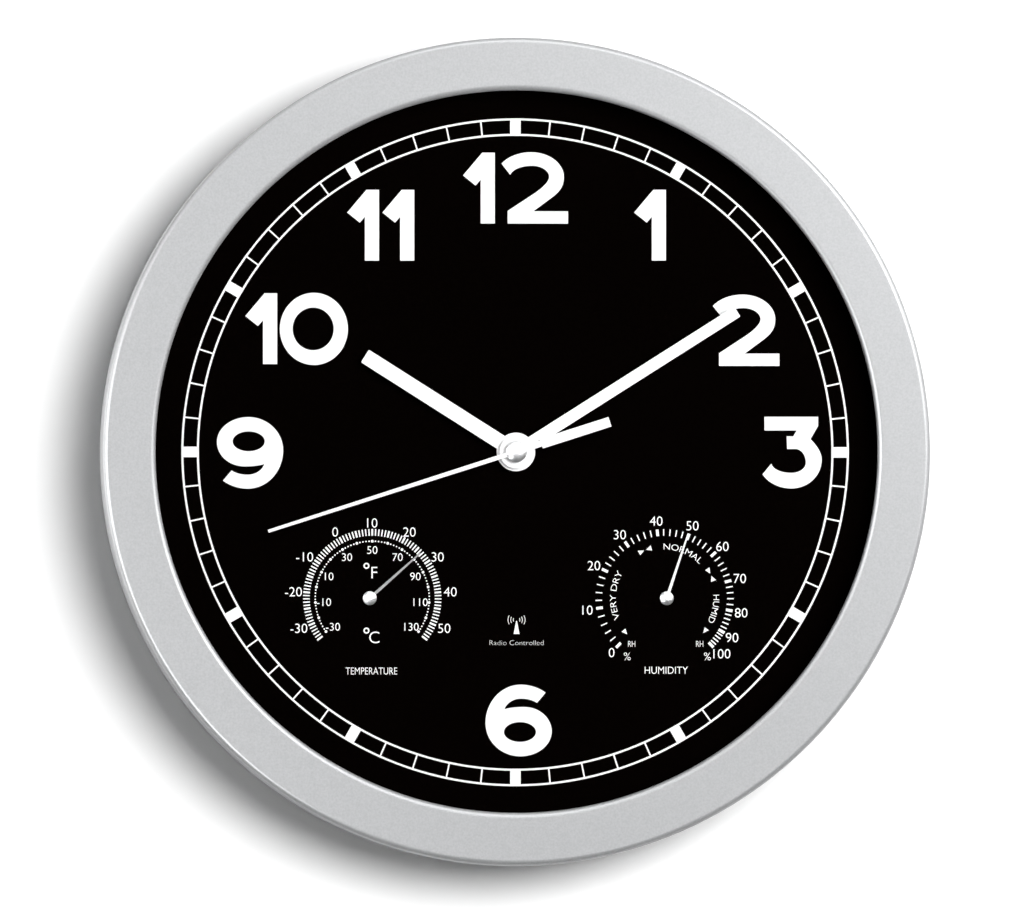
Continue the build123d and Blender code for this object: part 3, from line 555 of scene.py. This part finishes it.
def wound(name, dark, light, axis, pitch):
    """Enamelled wire: one band for each turn along an axis."""
    radians_per_scale = 20
    material, shader = finish(name, Metallic=0.8)
    tree = material.node_tree
    place = tree.nodes.new("ShaderNodeTexCoord")
    turns = tree.nodes.new("ShaderNodeTexWave")
    turns.bands_direction = axis
    turns.inputs["Scale"].default_value = math.tau / (radians_per_scale * pitch * MM)
    turns.inputs["Distortion"].default_value = 0.4
    tree.links.new(place.outputs["Object"], turns.inputs["Vector"])
    tint(material, shader, turns.outputs["Fac"], dark, light)
    vary(material, shader.inputs["Roughness"], grain(material, size=1.5), low=0.25, high=0.4)
    dent(material, shader, turns.outputs["Fac"], pitch / 4)
    return material


def clear_glass():
    """Flat low-reflection glass that mirrors only at a slant and lets the light of the lamps through."""
    material = bpy.data.materials.new("clear_glass")
    material.use_nodes = True
    tree = material.node_tree
    tree.nodes.remove(tree.nodes["Principled BSDF"])
    bend = tree.nodes.new("ShaderNodeBsdfRefraction")
    bend.inputs["IOR"].default_value = GLASS_INDEX
    bend.inputs["Roughness"].default_value = 0.0
    smears = [(NOISE_LOW, (0.985, 0.99, 0.99)), (NOISE_HIGH, grey(1))]
    tree.links.new(ramp(material, grain(material, size=60), smears), bend.inputs["Color"])
    mirror = tree.nodes.new("ShaderNodeBsdfAnisotropic")
    mirror.inputs["Roughness"].default_value = 0.0
    slant = tree.nodes.new("ShaderNodeLayerWeight")
    share = ramp(material, slant.outputs["Facing"], [(at, grey(level)) for at, level in MIRROR_SHARES])
    through = tree.nodes.new("ShaderNodeBsdfTransparent").outputs["BSDF"]
    rays = tree.nodes.new("ShaderNodeLightPath")
    surface = blend(tree, share, bend.outputs["BSDF"], mirror.outputs["BSDF"])
    surface = blend(tree, rays.outputs["Is Shadow Ray"], surface, through)
    surface = blend(tree, rays.outputs["Is Diffuse Ray"], surface, through)
    tree.links.new(surface, tree.nodes["Material Output"].inputs["Surface"])
    return material


def matt_dial():
    """Deep black screen print with the slight unevenness of its ink."""
    material, shader = finish("matt_dial", Specular_IOR_Level=0.0)
    ink = grain(material, size=1.2, detail=5.0)
    tint(material, shader, ink, (0.0008, 0.0004, 0.0003), (0.0014, 0.0008, 0.0006))
    vary(material, shader.inputs["Roughness"], ink, low=0.55, high=0.75)
    dent(material, shader, ink, depth=0.004, strength=0.4)
    return material


def board():
    """Solder mask with paler tracks under it."""
    track_spacing = 6
    material, shader = finish("board", Roughness=0.35)
    tree = material.node_tree
    place = tree.nodes.new("ShaderNodeTexCoord")
    tracks = tree.nodes.new("ShaderNodeTexBrick")
    tracks.inputs["Scale"].default_value = 1 / (track_spacing * MM)
    tracks.inputs["Mortar Size"].default_value = 0.05
    tracks.inputs["Color1"].default_value = (0.012, 0.09, 0.035, 1)
    tracks.inputs["Color2"].default_value = (0.014, 0.11, 0.042, 1)
    tracks.inputs["Mortar"].default_value = (0.04, 0.22, 0.09, 1)
    turned = tree.nodes.new("ShaderNodeMapping")
    turned.inputs["Rotation"].default_value = (math.radians(90), 0, 0)
    tree.links.new(place.outputs["Object"], turned.inputs["Vector"])
    tree.links.new(turned.outputs["Vector"], tracks.inputs["Vector"])
    tree.links.new(tracks.outputs["Color"], shader.inputs["Base Color"])
    dent(material, shader, tracks.outputs["Fac"], depth=-0.03)
    return material


def cell_jacket():
    """The battery: a printed film with a paler band near the tip, and bare steel at both ends."""
    material, shader = finish("cell_jacket")
    tree = material.node_tree
    low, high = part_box("battery_cell")
    place = tree.nodes.new("ShaderNodeTexCoord")
    split = tree.nodes.new("ShaderNodeSeparateXYZ")
    tree.links.new(place.outputs["Object"], split.inputs["Vector"])
    along = spread(tree, split.outputs["X"], 0.0, 1.0, low.x, high.x)
    steel, film, band = (0.62, 0.62, 0.6), (0.035, 0.05, 0.085), (0.55, 0.57, 0.6)
    colours = [(0.0, steel), (0.014, film), (0.72, band), (0.74, film), (0.965, steel)]
    sheen = [(at, grey(1) if colour is steel else grey(0.3)) for at, colour in colours]
    for socket, stops in (("Base Color", colours), ("Metallic", sheen)):
        stepped = ramp(material, along, stops, "CONSTANT")
        tree.links.new(stepped, shader.inputs[socket])
    vary(material, shader.inputs["Roughness"], grain(material, size=3), low=0.28, high=0.4)
    return material


def dress_frame():
    """A material for every piece of the frame."""
    silver_tones = ((0.39, 0.395, 0.403), (0.45, 0.455, 0.463))
    shell_tones = ((0.023, 0.023, 0.024), (0.027, 0.027, 0.028))
    copper_tones = ((0.3, 0.1, 0.04), (0.62, 0.27, 0.12))
    silver = lacquer("silver_lacquer", *silver_tones, gloss=(0.38, 0.46), metallic=0.5, size=0.7)
    white = lacquer("white_lacquer", grey(0.9), grey(0.95), gloss=(0.4, 0.5))
    pewter = lacquer("pewter_lacquer", (0.26, 0.26, 0.265), (0.33, 0.33, 0.335), gloss=(0.4, 0.5))
    cap = metal("silver_cap", (0.62, 0.62, 0.63), (0.75, 0.75, 0.76), gloss=(0.28, 0.4), size=0.8)
    zinc = metal("zinc_steel", (0.5, 0.51, 0.52), (0.66, 0.66, 0.65), (0.28, 0.45), 0.4, stretch=(12, 1, 1))
    iron = metal("stator_iron", (0.4, 0.4, 0.41), grey(0.5), (0.35, 0.5), 0.4, stretch=(1, 1, 12))
    brass = metal("brass", (0.62, 0.42, 0.16), (0.74, 0.53, 0.24), (0.2, 0.35), 0.5, stretch=(1, 6, 1))
    strip = metal("bimetal", (0.55, 0.38, 0.2), (0.68, 0.5, 0.3), (0.25, 0.4), 0.4, stretch=(1, 14, 1))
    black = moulded("black_plastic", grey(0.017), grey(0.0195))
    shell = moulded("movement_plastic", *shell_tones, gloss=(0.42, 0.5), texture=0.25, depth=0.012)
    gear = moulded("gear_plastic", (0.7, 0.68, 0.62), (0.82, 0.81, 0.77), (0.35, 0.5), 0.2, depth=0.006)
    magnet = moulded("magnet_plastic", (0.03, 0.03, 0.032), (0.06, 0.06, 0.062), (0.45, 0.6), texture=0.15)
    button = moulded("button_grey", (0.26, 0.26, 0.27), (0.32, 0.32, 0.33), (0.4, 0.55), 0.2, depth=0.01)
    rubber = moulded("rubber", grey(0.01), grey(0.02), gloss=(0.75, 0.9), texture=0.3)
    ferrite = moulded("ferrite", (0.03, 0.03, 0.032), (0.055, 0.055, 0.06), (0.5, 0.7), texture=0.12)
    motor_wire = wound("motor_wire", *copper_tones, axis="Z", pitch=0.22)
    antenna_wire = wound("antenna_wire", *copper_tones, axis="X", pitch=0.3)
    dressed = {
        "bezel_ring": silver,
        "front_lens": clear_glass(),
        "dial_plate": matt_dial(),
        "circuit_board": board(),
        "battery_cell": cell_jacket(),
        "rubber_washer": rubber,
        "antenna_rod": ferrite,
        "antenna_winding": antenna_wire,
        "seconds_coil": motor_wire,
        "minutes_coil": motor_wire,
        "seconds_stator": iron,
        "minutes_stator": iron,
        "seconds_rotor": magnet,
        "minutes_rotor": magnet,
        "movement_front_shell": shell,
        "movement_rear_shell": shell,
        "thermometer_pointer": pewter,
    }
    by_slot = {
        "black_plastic": black,
        "zinc_steel": zinc,
        "brass": brass,
        "bimetal": strip,
        "white_lacquer": white,
        "pointer_lacquer": white,
        "silver_cap": cap,
        "gear_plastic": gear,
        "button_grey": button,
    }
    for part in frame["record"]["subparts"]:
        node = part["node"]
        material = dressed.get(node) or by_slot[part["material_slot"]]
        mesh = bpy.data.objects[node].data
        mesh.materials.clear()
        mesh.materials.append(material)
    return {"silver": silver, "white": white, "zinc": zinc, "shell": shell}


def one():
    """A stem with a slanted flag."""
    return filled([(0.25, 0), (0.45, 0), (0.45, 1), (0.272, 1), (0, 0.678), (0.178, 0.536), (0.25, 0.617)])


def two():
    """A bowl that runs down to a flat foot."""
    outline = [(0.087, 0), (0.941, 0), (0.941, 0.174), (0.45, 0.174), (0.683, 0.347)]
    outline += curve((0.683, 0.347), (0.806, 0.436), (0.883, 0.508), (0.883, 0.658))
    outline += arc((0.422, 0.658), (0.461, 0.35), 0, 90)
    outline += arc((0.422, 0.658), (0.501, 0.35), 90, 147.4)
    outline += arc((0.433, 0.658), (0.315, 0.159), 168.8, 90)
    outline += arc((0.433, 0.658), (0.241, 0.159), 90, 0)
    outline += curve((0.674, 0.658), (0.674, 0.597), (0.583, 0.506), (0.461, 0.424))
    return filled(outline + [(0.087, 0.178)])


def three():
    """A flat top over a bowl."""
    outline = [(0.027, 1.013), (0.788, 1.013), (0.788, 0.886), (0.68, 0.697)]
    outline += curve((0.68, 0.697), (0.78, 0.6), (0.839, 0.5), (0.839, 0.407))
    outline += arc((0.408, 0.407), (0.431, 0.407), 0, -90)
    outline += arc((0.408, 0.407), (0.475, 0.407), 270, 210.7)
    outline += arc((0.408, 0.364), (0.282, 0.144), 184.8, 270)
    outline += arc((0.408, 0.364), (0.206, 0.144), 270, 360)
    outline += arc((0.468, 0.364), (0.146, 0.194), 0, 90)
    notch = [(0.349, 0.558), (0.343, 0.737), (0.434, 0.735), (0.485, 0.8195), (0.029, 0.8195)]
    return filled(outline + notch)


def nine():
    """A closed bowl with a tail."""
    outline = arc((0.445, 0.541), (0.491, 0.47), 90, 0)
    outline += arc((0.436, 0.541), (0.5, 0.541), 0, -90)
    outline += arc((0.436, 0.541), (0.5735, 0.541), 270, 232.3)
    outline += arc((0.432, 0.4), (0.3155, 0.203), 224.8, 270)
    outline += arc((0.432, 0.4), (0.2455, 0.203), 270, 344.9)
    outline += curve((0.669, 0.347), (0.58, 0.32), (0.48, 0.314), (0.39, 0.314))
    outline += arc((0.39, 0.659), (0.39, 0.345), 270, 180)
    outline += arc((0.445, 0.659), (0.445, 0.352), 180, 90)
    return filled(outline, oval((0.449, 0.668), (0.226, 0.14)))


def six():
    """The nine, turned half a turn."""
    return moved(nine(), (0.936, 1.011), turn=180)


def nought():
    """A round ring."""
    return filled(oval((0.481, 0.497), (0.481, 0.51)), oval((0.471, 0.497), (0.29, 0.301)))


DIGITS = {"0": nought, "1": one, "2": two, "3": three, "6": six, "9": nine}


def numeral(text):
    """One or two bold digits, as shares of their height."""
    shapes = [DIGITS[text[0]]()]
    if len(text) > 1:
        shapes.append(moved(DIGITS[text[1]](), (STEP_AFTER_ONE[text[1]], 0)))
    return joined(shapes)


def minute_track():
    """Two rings joined by sixty ticks, with a broad tick at each hour."""
    radii = (TRACK_INNER, TRACK_INNER + TRACK_LINE, TRACK_OUTER - TRACK_LINE, TRACK_OUTER)
    minutes, minute_angle, between = 60, 6.0, 3
    points, faces, columns = [], [], []

    def half_angle(minute, radius):
        width = MINUTE_TICK if minute % 5 else HOUR_TICK
        return math.degrees(math.asin(width / 2 / radius))

    for minute in range(minutes):
        start = minute * minute_angle
        for side in (-1, 1):
            columns.append([start + side * half_angle(minute, radius) for radius in radii])
        ends = [(half_angle(minute, r), minute_angle - half_angle(minute + 1, r)) for r in radii]
        for step in range(1, between + 1):
            share = step / (between + 1)
            columns.append([start + low + (high - low) * share for low, high in ends])
    for column in columns:
        points += [on_dial(radius, angle) for radius, angle in zip(radii, column)]
    rows = len(radii)
    for number in range(len(columns)):
        after = (number + 1) % len(columns)
        on_tick = number % (between + 2) == 0
        for row in range(rows - 1):
            if on_tick or row != 1:
                a, b = number * rows + row, after * rows + row
                faces.append((a, a + 1, b + 1, b))
    return points, faces


def gauge_centre(name):
    """The middle of a gauge's print, a little nearer to the middle of the dial than its pivot."""
    low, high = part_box(name + "_hub")
    return ((low.x + high.x) / 2 / MM + GAUGE_SHIFTS[name], (low.z + high.z) / 2 / MM)


def thermometer_print(centre):
    """Ticks for each degree Celsius, dots for each second degree Fahrenheit, and their numbers."""
    shapes = []
    thin, broad = CELSIUS_TICKS
    first, last = CELSIUS_ENDS
    for degree in range(first, last + 1):
        angle = (degree - TOP_CELSIUS) * DEGREES_PER_CELSIUS
        width = thin if degree % 5 else broad
        shapes.append(bar(centre, SCALE_INNER, SCALE_OUTER, width, angle))
        if degree % 10 == 0:
            label = letters(str(degree), LABEL_HEIGHT)
            x, y = on_oval(CELSIUS_RADII, angle, centre)
            right, up = CELSIUS_NUDGES.get(degree, (0, 0))
            shapes.append(moved(label, (x + right, y + up)))
    small, large = FAHRENHEIT_DOTS
    low, high = FAHRENHEIT_ENDS
    for degree in range(low, high + 1, 2):
        angle = (degree - TOP_FAHRENHEIT) * DEGREES_PER_CELSIUS * 5 / 9
        dot = small if degree % 10 else large
        shapes.append(filled(circle(on_dial(FAHRENHEIT_RADIUS, angle, centre), dot)))
        if (degree - low) % 20 == 0:
            label = letters(str(degree), FAHRENHEIT_LABEL_HEIGHT)
            shapes.append(moved(label, on_dial(FAHRENHEIT_LABEL_RADIUS, angle, centre)))
    right, up = DEGREE_SIGN_AT
    for letter, rise in UNIT_RISES.items():
        shapes.append(moved(letters(letter, UNIT_HEIGHT), (centre[0] + UNIT_SHIFT, centre[1] + rise)))
        sign = (centre[0] + right, centre[1] + rise + up)
        shapes.append(filled(*[circle(sign, radius) for radius in DEGREE_SIGN_RADII]))
    return joined(shapes + [gauge_word("thermometer", centre)])


def gauge_word(name, centre):
    """What a gauge shows, under its scale."""
    word, width, shift, rise = GAUGE_WORDS[name]
    return moved(letters(word, WORD_HEIGHT, width), (centre[0] + shift, centre[1] + rise))


def humidity_angle(percent):
    """The clock angle of a reading, between the angles printed for each ten percent."""
    ten = min(int(percent // 10), len(HUMIDITY_ANGLES) - 2)
    low, high = HUMIDITY_ANGLES[ten], HUMIDITY_ANGLES[ten + 1]
    return low + (high - low) * (percent / 10 - ten)


def hygrometer_print(centre):
    """Ticks for each second percent, their numbers, and the names of three zones between arrowheads."""
    shapes = []
    thin, broad = HUMIDITY_TICKS
    for percent in range(0, 101, 2):
        angle = humidity_angle(percent)
        width = thin if percent % 10 else broad
        shapes.append(bar(centre, SCALE_INNER, SCALE_OUTER, width, angle))
        if percent % 10 == 0:
            label = letters(str(percent), LABEL_HEIGHT)
            x, y = on_dial(HUMIDITY_LABEL_RADIUS, angle, centre)
            right, up = HUMIDITY_NUDGES.get(percent, (0, 0))
            shapes.append(moved(label, (x + right, y + up)))
    for word, length, low, high, middle in HUMIDITY_ZONES:
        shapes.append(bent(letters(word, ZONE_HEIGHT, length), ZONE_RADIUS, middle, centre))
        for angle, way in ((low, -1), (high, 1)):
            tip, tail = way * ARROW_TIP, -way * ARROW_TAIL
            arrow = filled([(tip, 0), (tail, ARROW_HALF), (tail, -ARROW_HALF)])
            shapes.append(bent(arrow, ZONE_RADIUS, angle, centre))
    for side in (-1, 1):
        for sign, height, width, distance, shift, rise in HUMIDITY_SIGNS:
            place = (centre[0] + side * distance + shift, centre[1] + rise)
            shapes.append(moved(letters(sign, height, width), place))
    return joined(shapes + [gauge_word("hygrometer", centre)])


def signal_print():
    """A mast with three pairs of waves, for a clock that is set by radio, and words that say so."""
    (foot, tip), (broad, narrow) = MAST_ENDS, MAST_HALVES
    mast = [(-broad, foot), (broad, foot), (narrow, tip), (-narrow, tip)]
    shapes = [filled([(SIGNAL_X + x, y) for x, y in mast])]
    for radius, half in WAVES:
        inner, outer = radius - WAVE_HALF, radius + WAVE_HALF
        for way in (0, 180):
            outline = arc((SIGNAL_X, WAVES_Y), (outer, outer), way - half, way + half)
            outline += arc((SIGNAL_X, WAVES_Y), (inner, inner), way + half, way - half)
            shapes.append(filled(outline))
    words = letters(SIGNAL_WORDS, *SIGNAL_WORDS_SIZE, FINE_WEIGHT)
    shapes.append(moved(words, (SIGNAL_X, SIGNAL_WORDS_Y)))
    return joined(shapes)


def print_dial(material):
    """All the print, as thin ink on the dial's front."""
    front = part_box("dial_plate")[0].y

    def place(x, y, height):
        return (x * MM, front - height * MM, y * MM)

    def add(name, shape):
        add_piece(name, body_of(shape, -PRINT_SINK, PRINT_RISE, place), material, "case")

    add("minute_track", minute_track())
    for text, at in NUMERALS.items():
        add("numeral_" + text, moved(numeral(text), at, NUMERAL_HEIGHT))
    add("thermometer_print", thermometer_print(gauge_centre("thermometer")))
    add("hygrometer_print", hygrometer_print(gauge_centre("hygrometer")))
    add("signal_print", signal_print())


def add_ring(material):
    """The bezel ring, turned finely so that its rounded edges carry clean highlights, with its bosses."""
    solid = bmesh.new()
    section = [(radius * MM, -height * MM) for radius, height in rounded(RING_SECTION)]
    rings = lathe(solid, section, (0, 0), RING_SIDES)
    join_rings(solid, rings[-1], rings[0])
    boss = [(radius * MM, -height * MM) for radius, height in BOSS_SECTION]
    for angle in BOSS_ANGLES:
        turn = math.radians(angle)
        centre = (BOSS_CIRCLE * MM * math.cos(turn), BOSS_CIRCLE * MM * math.sin(turn))
        rings = lathe(solid, boss, centre, SCREW_SIDES)
        solid.faces.new(rings[0])
        solid.faces.new(rings[-1])
    bmesh.ops.recalc_face_normals(solid, faces=solid.faces)
    ring = add_piece("bezel_ring_turned", solid, material, "case")
    smooth(ring)
    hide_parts("bezel_ring")


def screw_places(node):
    """The axis, the ends and the radii of each screw of a node, read from its separate solids."""
    solids = bmesh.new()
    solids.from_mesh(bpy.data.objects[node].data)
    bmesh.ops.remove_doubles(solids, verts=solids.verts, dist=WELD * MM)
    seen, places = set(), []
    for first in solids.verts:
        if first in seen:
            continue
        reached, todo = set(), [first]
        while todo:
            vert = todo.pop()
            reached.add(vert)
            beside = [edge.other_vert(vert) for edge in vert.link_edges]
            todo += [other for other in beside if other not in reached]
        seen |= reached
        places.append(screw_size([vert.co for vert in reached]))
    solids.free()
    return places


def screw_size(points):
    """Where a screw stands and how large it is, with its head at the rear."""
    x, z = (sum(end(p[axis] for p in points) for end in (min, max)) / 2 for axis in (0, 2))
    reach = [(math.hypot(p.x - x, p.z - z), p.y) for p in points]
    head_radius = max(radius for radius, y in reach)
    tip, back = min(y for radius, y in reach), max(y for radius, y in reach)
    seat = min(y for radius, y in reach if radius > HEAD_RIM_SHARE * head_radius)
    shank_radius = max(radius for radius, y in reach if y < (tip + seat) / 2)
    return (x, z), (tip, seat, back), (shank_radius, head_radius)


def screw_profile(tip, seat, back, shank_radius, head_radius):
    """Radius and height from the point of a screw, up its thread, to the edge of its rounded crown."""
    point = shank_radius * POINT_LENGTH_SHARE
    turns = round((seat - tip - point) / (THREAD_PITCH * MM))
    pitch = (seat - tip - point) / turns
    profile = [(shank_radius * POINT_TIP_SHARE, tip)]
    for turn in range(turns):
        root = tip + point + turn * pitch
        profile += [(shank_radius * THREAD_ROOT_SHARE, root), (shank_radius, root + pitch / 2)]
    profile += [(shank_radius, seat), (head_radius, seat)]
    crown = CROWN_ROUND_SHARE * (back - seat)
    return profile + arc((head_radius - crown, back - crown), (crown, crown), 0, 90)


def cross(reach, half):
    """The outline of a cross, from the reach and half the width of its arms."""
    arm = [(half, half), (half, reach), (-half, reach)]
    turns = ((1, 0), (0, 1), (-1, 0), (0, -1))
    return [(x * cos - y * sin, x * sin + y * cos) for cos, sin in turns for x, y in arm]


def add_screws(node, material):
    """Threaded screws with a pan head and a cross recess, in place of a node's plain ones."""
    solid = bmesh.new()
    for (x, z), (tip, seat, back), (shank_radius, head_radius) in screw_places(node):
        profile = screw_profile(tip, seat, back, shank_radius, head_radius)
        rings = lathe(solid, profile, (x, z), SCREW_SIDES)
        solid.faces.new(rings[0])
        recess = cross(CROSS_REACH_SHARE * head_radius, CROSS_WIDTH_SHARE * head_radius)
        bottom = back - CROSS_DEPTH_SHARE * (back - seat)
        rim = [solid.verts.new((x + u, back, z + v)) for u, v in recess]
        narrowed = [(CROSS_FOOT_SHARE * u, CROSS_FOOT_SHARE * v) for u, v in recess]
        foot = [solid.verts.new((x + u, bottom, z + v)) for u, v in narrowed]
        join_rings(solid, rim, foot)
        solid.faces.new(foot)
        top = rings[-1] + rim
        for face in tessellate_polygon([[v.co.xzy for v in rings[-1]], [v.co.xzy for v in rim]]):
            solid.faces.new([top[number] for number in face])
    bmesh.ops.recalc_face_normals(solid, faces=solid.faces)
    piece = add_piece(node + "_cross_head", solid, material, "case")
    smooth(piece)
    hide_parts(node)


def plus():
    """A plus sign of unit size."""
    return filled(cross(SIGN_REACH, SIGN_HALF))


def minus():
    """A minus sign of unit size."""
    x, y = SIGN_REACH, SIGN_HALF
    return filled([(-x, -y), (x, -y), (x, y), (-x, y)])


def mark_movement(material):
    """Raised signs beside the ends of the battery bay, and a word under each button, read from the rear."""
    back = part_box("movement_rear_shell")[1].y
    low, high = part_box("battery_cell")

    def place(x, y, height):
        return (-x * MM, back + height * MM, y * MM)

    shapes = []
    above = high.z / MM + MARK_GAP
    for sign, end in ((plus(), high.x), (minus(), low.x)):
        inset = math.copysign(MARK_SIZE / 2, end)
        shapes.append(moved(sign, (inset - end / MM, above), MARK_SIZE))
    for button, word in BUTTON_WORDS.items():
        corner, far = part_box(button)
        middle, under = (corner.x + far.x) / 2 / MM, corner.z / MM - BUTTON_WORD_HEIGHT
        shapes.append(moved(letters(word, BUTTON_WORD_HEIGHT), (-middle, under)))
    solid = body_of(joined(shapes), -PRINT_SINK, MARK_RISE, place)
    add_piece("movement_marks", solid, material, "case")


def mark_cell(material):
    """Printed signs near the ends of the cell, on the side that faces the rear."""
    low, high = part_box("battery_cell")
    middle = (low + high) / 2
    radius = (high.z - low.z) / 2

    def place(x, y, height):
        turn = y * MM / radius
        out = radius + height * MM
        return (-x * MM, middle.y + out * math.cos(turn), middle.z + out * math.sin(turn))

    signs = [(plus(), high.x / MM - CELL_MARK_INSET), (minus(), low.x / MM + CELL_MARK_INSET)]
    shapes = [moved(sign, (-x, 0), MARK_SIZE) for sign, x in signs]
    solid = body_of(joined(shapes), -PRINT_SINK, PRINT_RISE, place)
    add_piece("cell_marks", solid, material, "battery")


def add_light(name, place, size, power):
    """A soft light of a width and a height, aimed at the clock, that the camera doesn't see."""
    data = bpy.data.lights.new(name, "AREA")
    data.shape = "ELLIPSE"
    data.size, data.size_y = size
    data.energy = power
    light = bpy.data.objects.new(name, data)
    light.location = place
    light.rotation_euler = (-Vector(place)).to_track_quat("-Z", "Y").to_euler()
    light.visible_camera = False
    bpy.context.scene.collection.objects.link(light)
    return light


def add_wall():
    """The white wall down to the floor, open behind the clock; light and the camera pass it from behind."""
    half = WALL_SIZE / 2
    mesh = bpy.data.meshes.new("wall")
    border = [(-half, -FLOOR_DROP), (half, -FLOOR_DROP), (half, half), (-half, half)]
    points, faces = filled(border, circle((0, 0), WALL_HOLE))
    mesh.from_pydata([(x, WALL_GAP, z) for x, z in points], [], faces)
    wall = bpy.data.objects.new("wall", mesh)
    bpy.context.scene.collection.objects.link(wall)
    material, shader = finish("wall_paint", Specular_IOR_Level=0.0, Roughness=1.0)
    tree = material.node_tree
    rays = tree.nodes.new("ShaderNodeLightPath")
    seen = spread(tree, rays.outputs["Is Camera Ray"], WALL_BOUNCE, WALL_SEEN)
    tree.links.new(seen, shader.inputs["Base Color"])
    surface = tree.nodes.new("ShaderNodeNewGeometry")
    through = tree.nodes.new("ShaderNodeBsdfTransparent")
    passes = combine(tree, "MAXIMUM", rays.outputs["Is Shadow Ray"], surface.outputs["Backfacing"])
    paint = blend(tree, passes, shader.outputs["BSDF"], through.outputs["BSDF"])
    tree.links.new(paint, tree.nodes["Material Output"].inputs["Surface"])
    mesh.materials.append(material)


def add_floor():
    """A grey floor below the picture, out of the camera's sight: it darkens what faces down."""
    half = FLOOR_SIZE / 2
    mesh = bpy.data.meshes.new("floor")
    sides = [(-half, -half), (half, -half), (half, 0), (-half, 0)]
    mesh.from_pydata([(x, y, -FLOOR_DROP) for x, y in sides], [], [(0, 1, 2, 3)])
    floor = bpy.data.objects.new("floor", mesh)
    floor.visible_camera = False
    bpy.context.scene.collection.objects.link(floor)
    material, shader = finish("floor_paint", Specular_IOR_Level=0.0)
    tint(material, shader, grain(material, size=5), grey(0.17), grey(0.2))
    mesh.materials.append(material)


def add_world():
    """Even light from all round, and plain white where the camera, metal or glass sees past the object."""
    world = bpy.data.worlds.new("studio")
    world.use_nodes = True
    bpy.context.scene.world = world
    tree = world.node_tree
    background = tree.nodes["Background"]
    background.inputs["Color"].default_value = (1, 1, 1, 1)
    rays = tree.nodes.new("ShaderNodeLightPath")
    seen = rays.outputs["Is Camera Ray"]
    for kind in ("Is Glossy Ray", "Is Transmission Ray"):
        seen = combine(tree, "MAXIMUM", seen, rays.outputs[kind])
    direct = spread(tree, rays.outputs["Diffuse Depth"], 1.0, 0.0)
    both = combine(tree, "MULTIPLY", seen, direct)
    tree.links.new(spread(tree, both, AMBIENT, 1.0), background.inputs["Strength"])


def add_camera():
    """The camera far in front, a little to the left and below, as in the photograph."""
    data = bpy.data.cameras.new("camera")
    data.sensor_width = SENSOR
    data.lens = SENSOR * CAMERA_DISTANCE / VIEW_WIDTH
    camera = bpy.data.objects.new("camera", data)
    left, below = math.radians(CAMERA_LEFT), math.radians(CAMERA_BELOW)
    away = Vector((-math.sin(left) * math.cos(below), -math.cos(left) * math.cos(below), -math.sin(below)))
    camera.location = Vector(VIEW_CENTRE) + CAMERA_DISTANCE * away
    camera.rotation_euler = (-away).to_track_quat("-Z", "Y").to_euler()
    bpy.context.scene.collection.objects.link(camera)
    bpy.context.scene.camera = camera


def add_studio():
    """The world, the stage, the lamps and the camera."""
    bpy.context.scene.view_settings.view_transform = "Standard"
    add_world()
    add_wall()
    add_floor()
    add_light(*KEY_LAMP).visible_glossy = False
    for card in GLOSS_CARDS:
        add_light(*card).visible_diffuse = False
    for card in RIM_CARDS:
        light = add_light(*card)
        light.visible_diffuse = False
        light.data.cycles.max_bounces = 0
    add_light(*REAR_LAMP).visible_glossy = False
    add_camera()


materials = dress_frame()
add_ring(materials["silver"])
print_dial(materials["white"])
for screws in ("case_screws", "hanger_screws", "gauge_screws"):
    add_screws(screws, materials["zinc"])
mark_movement(materials["shell"])
mark_cell(materials["white"])
add_studio()
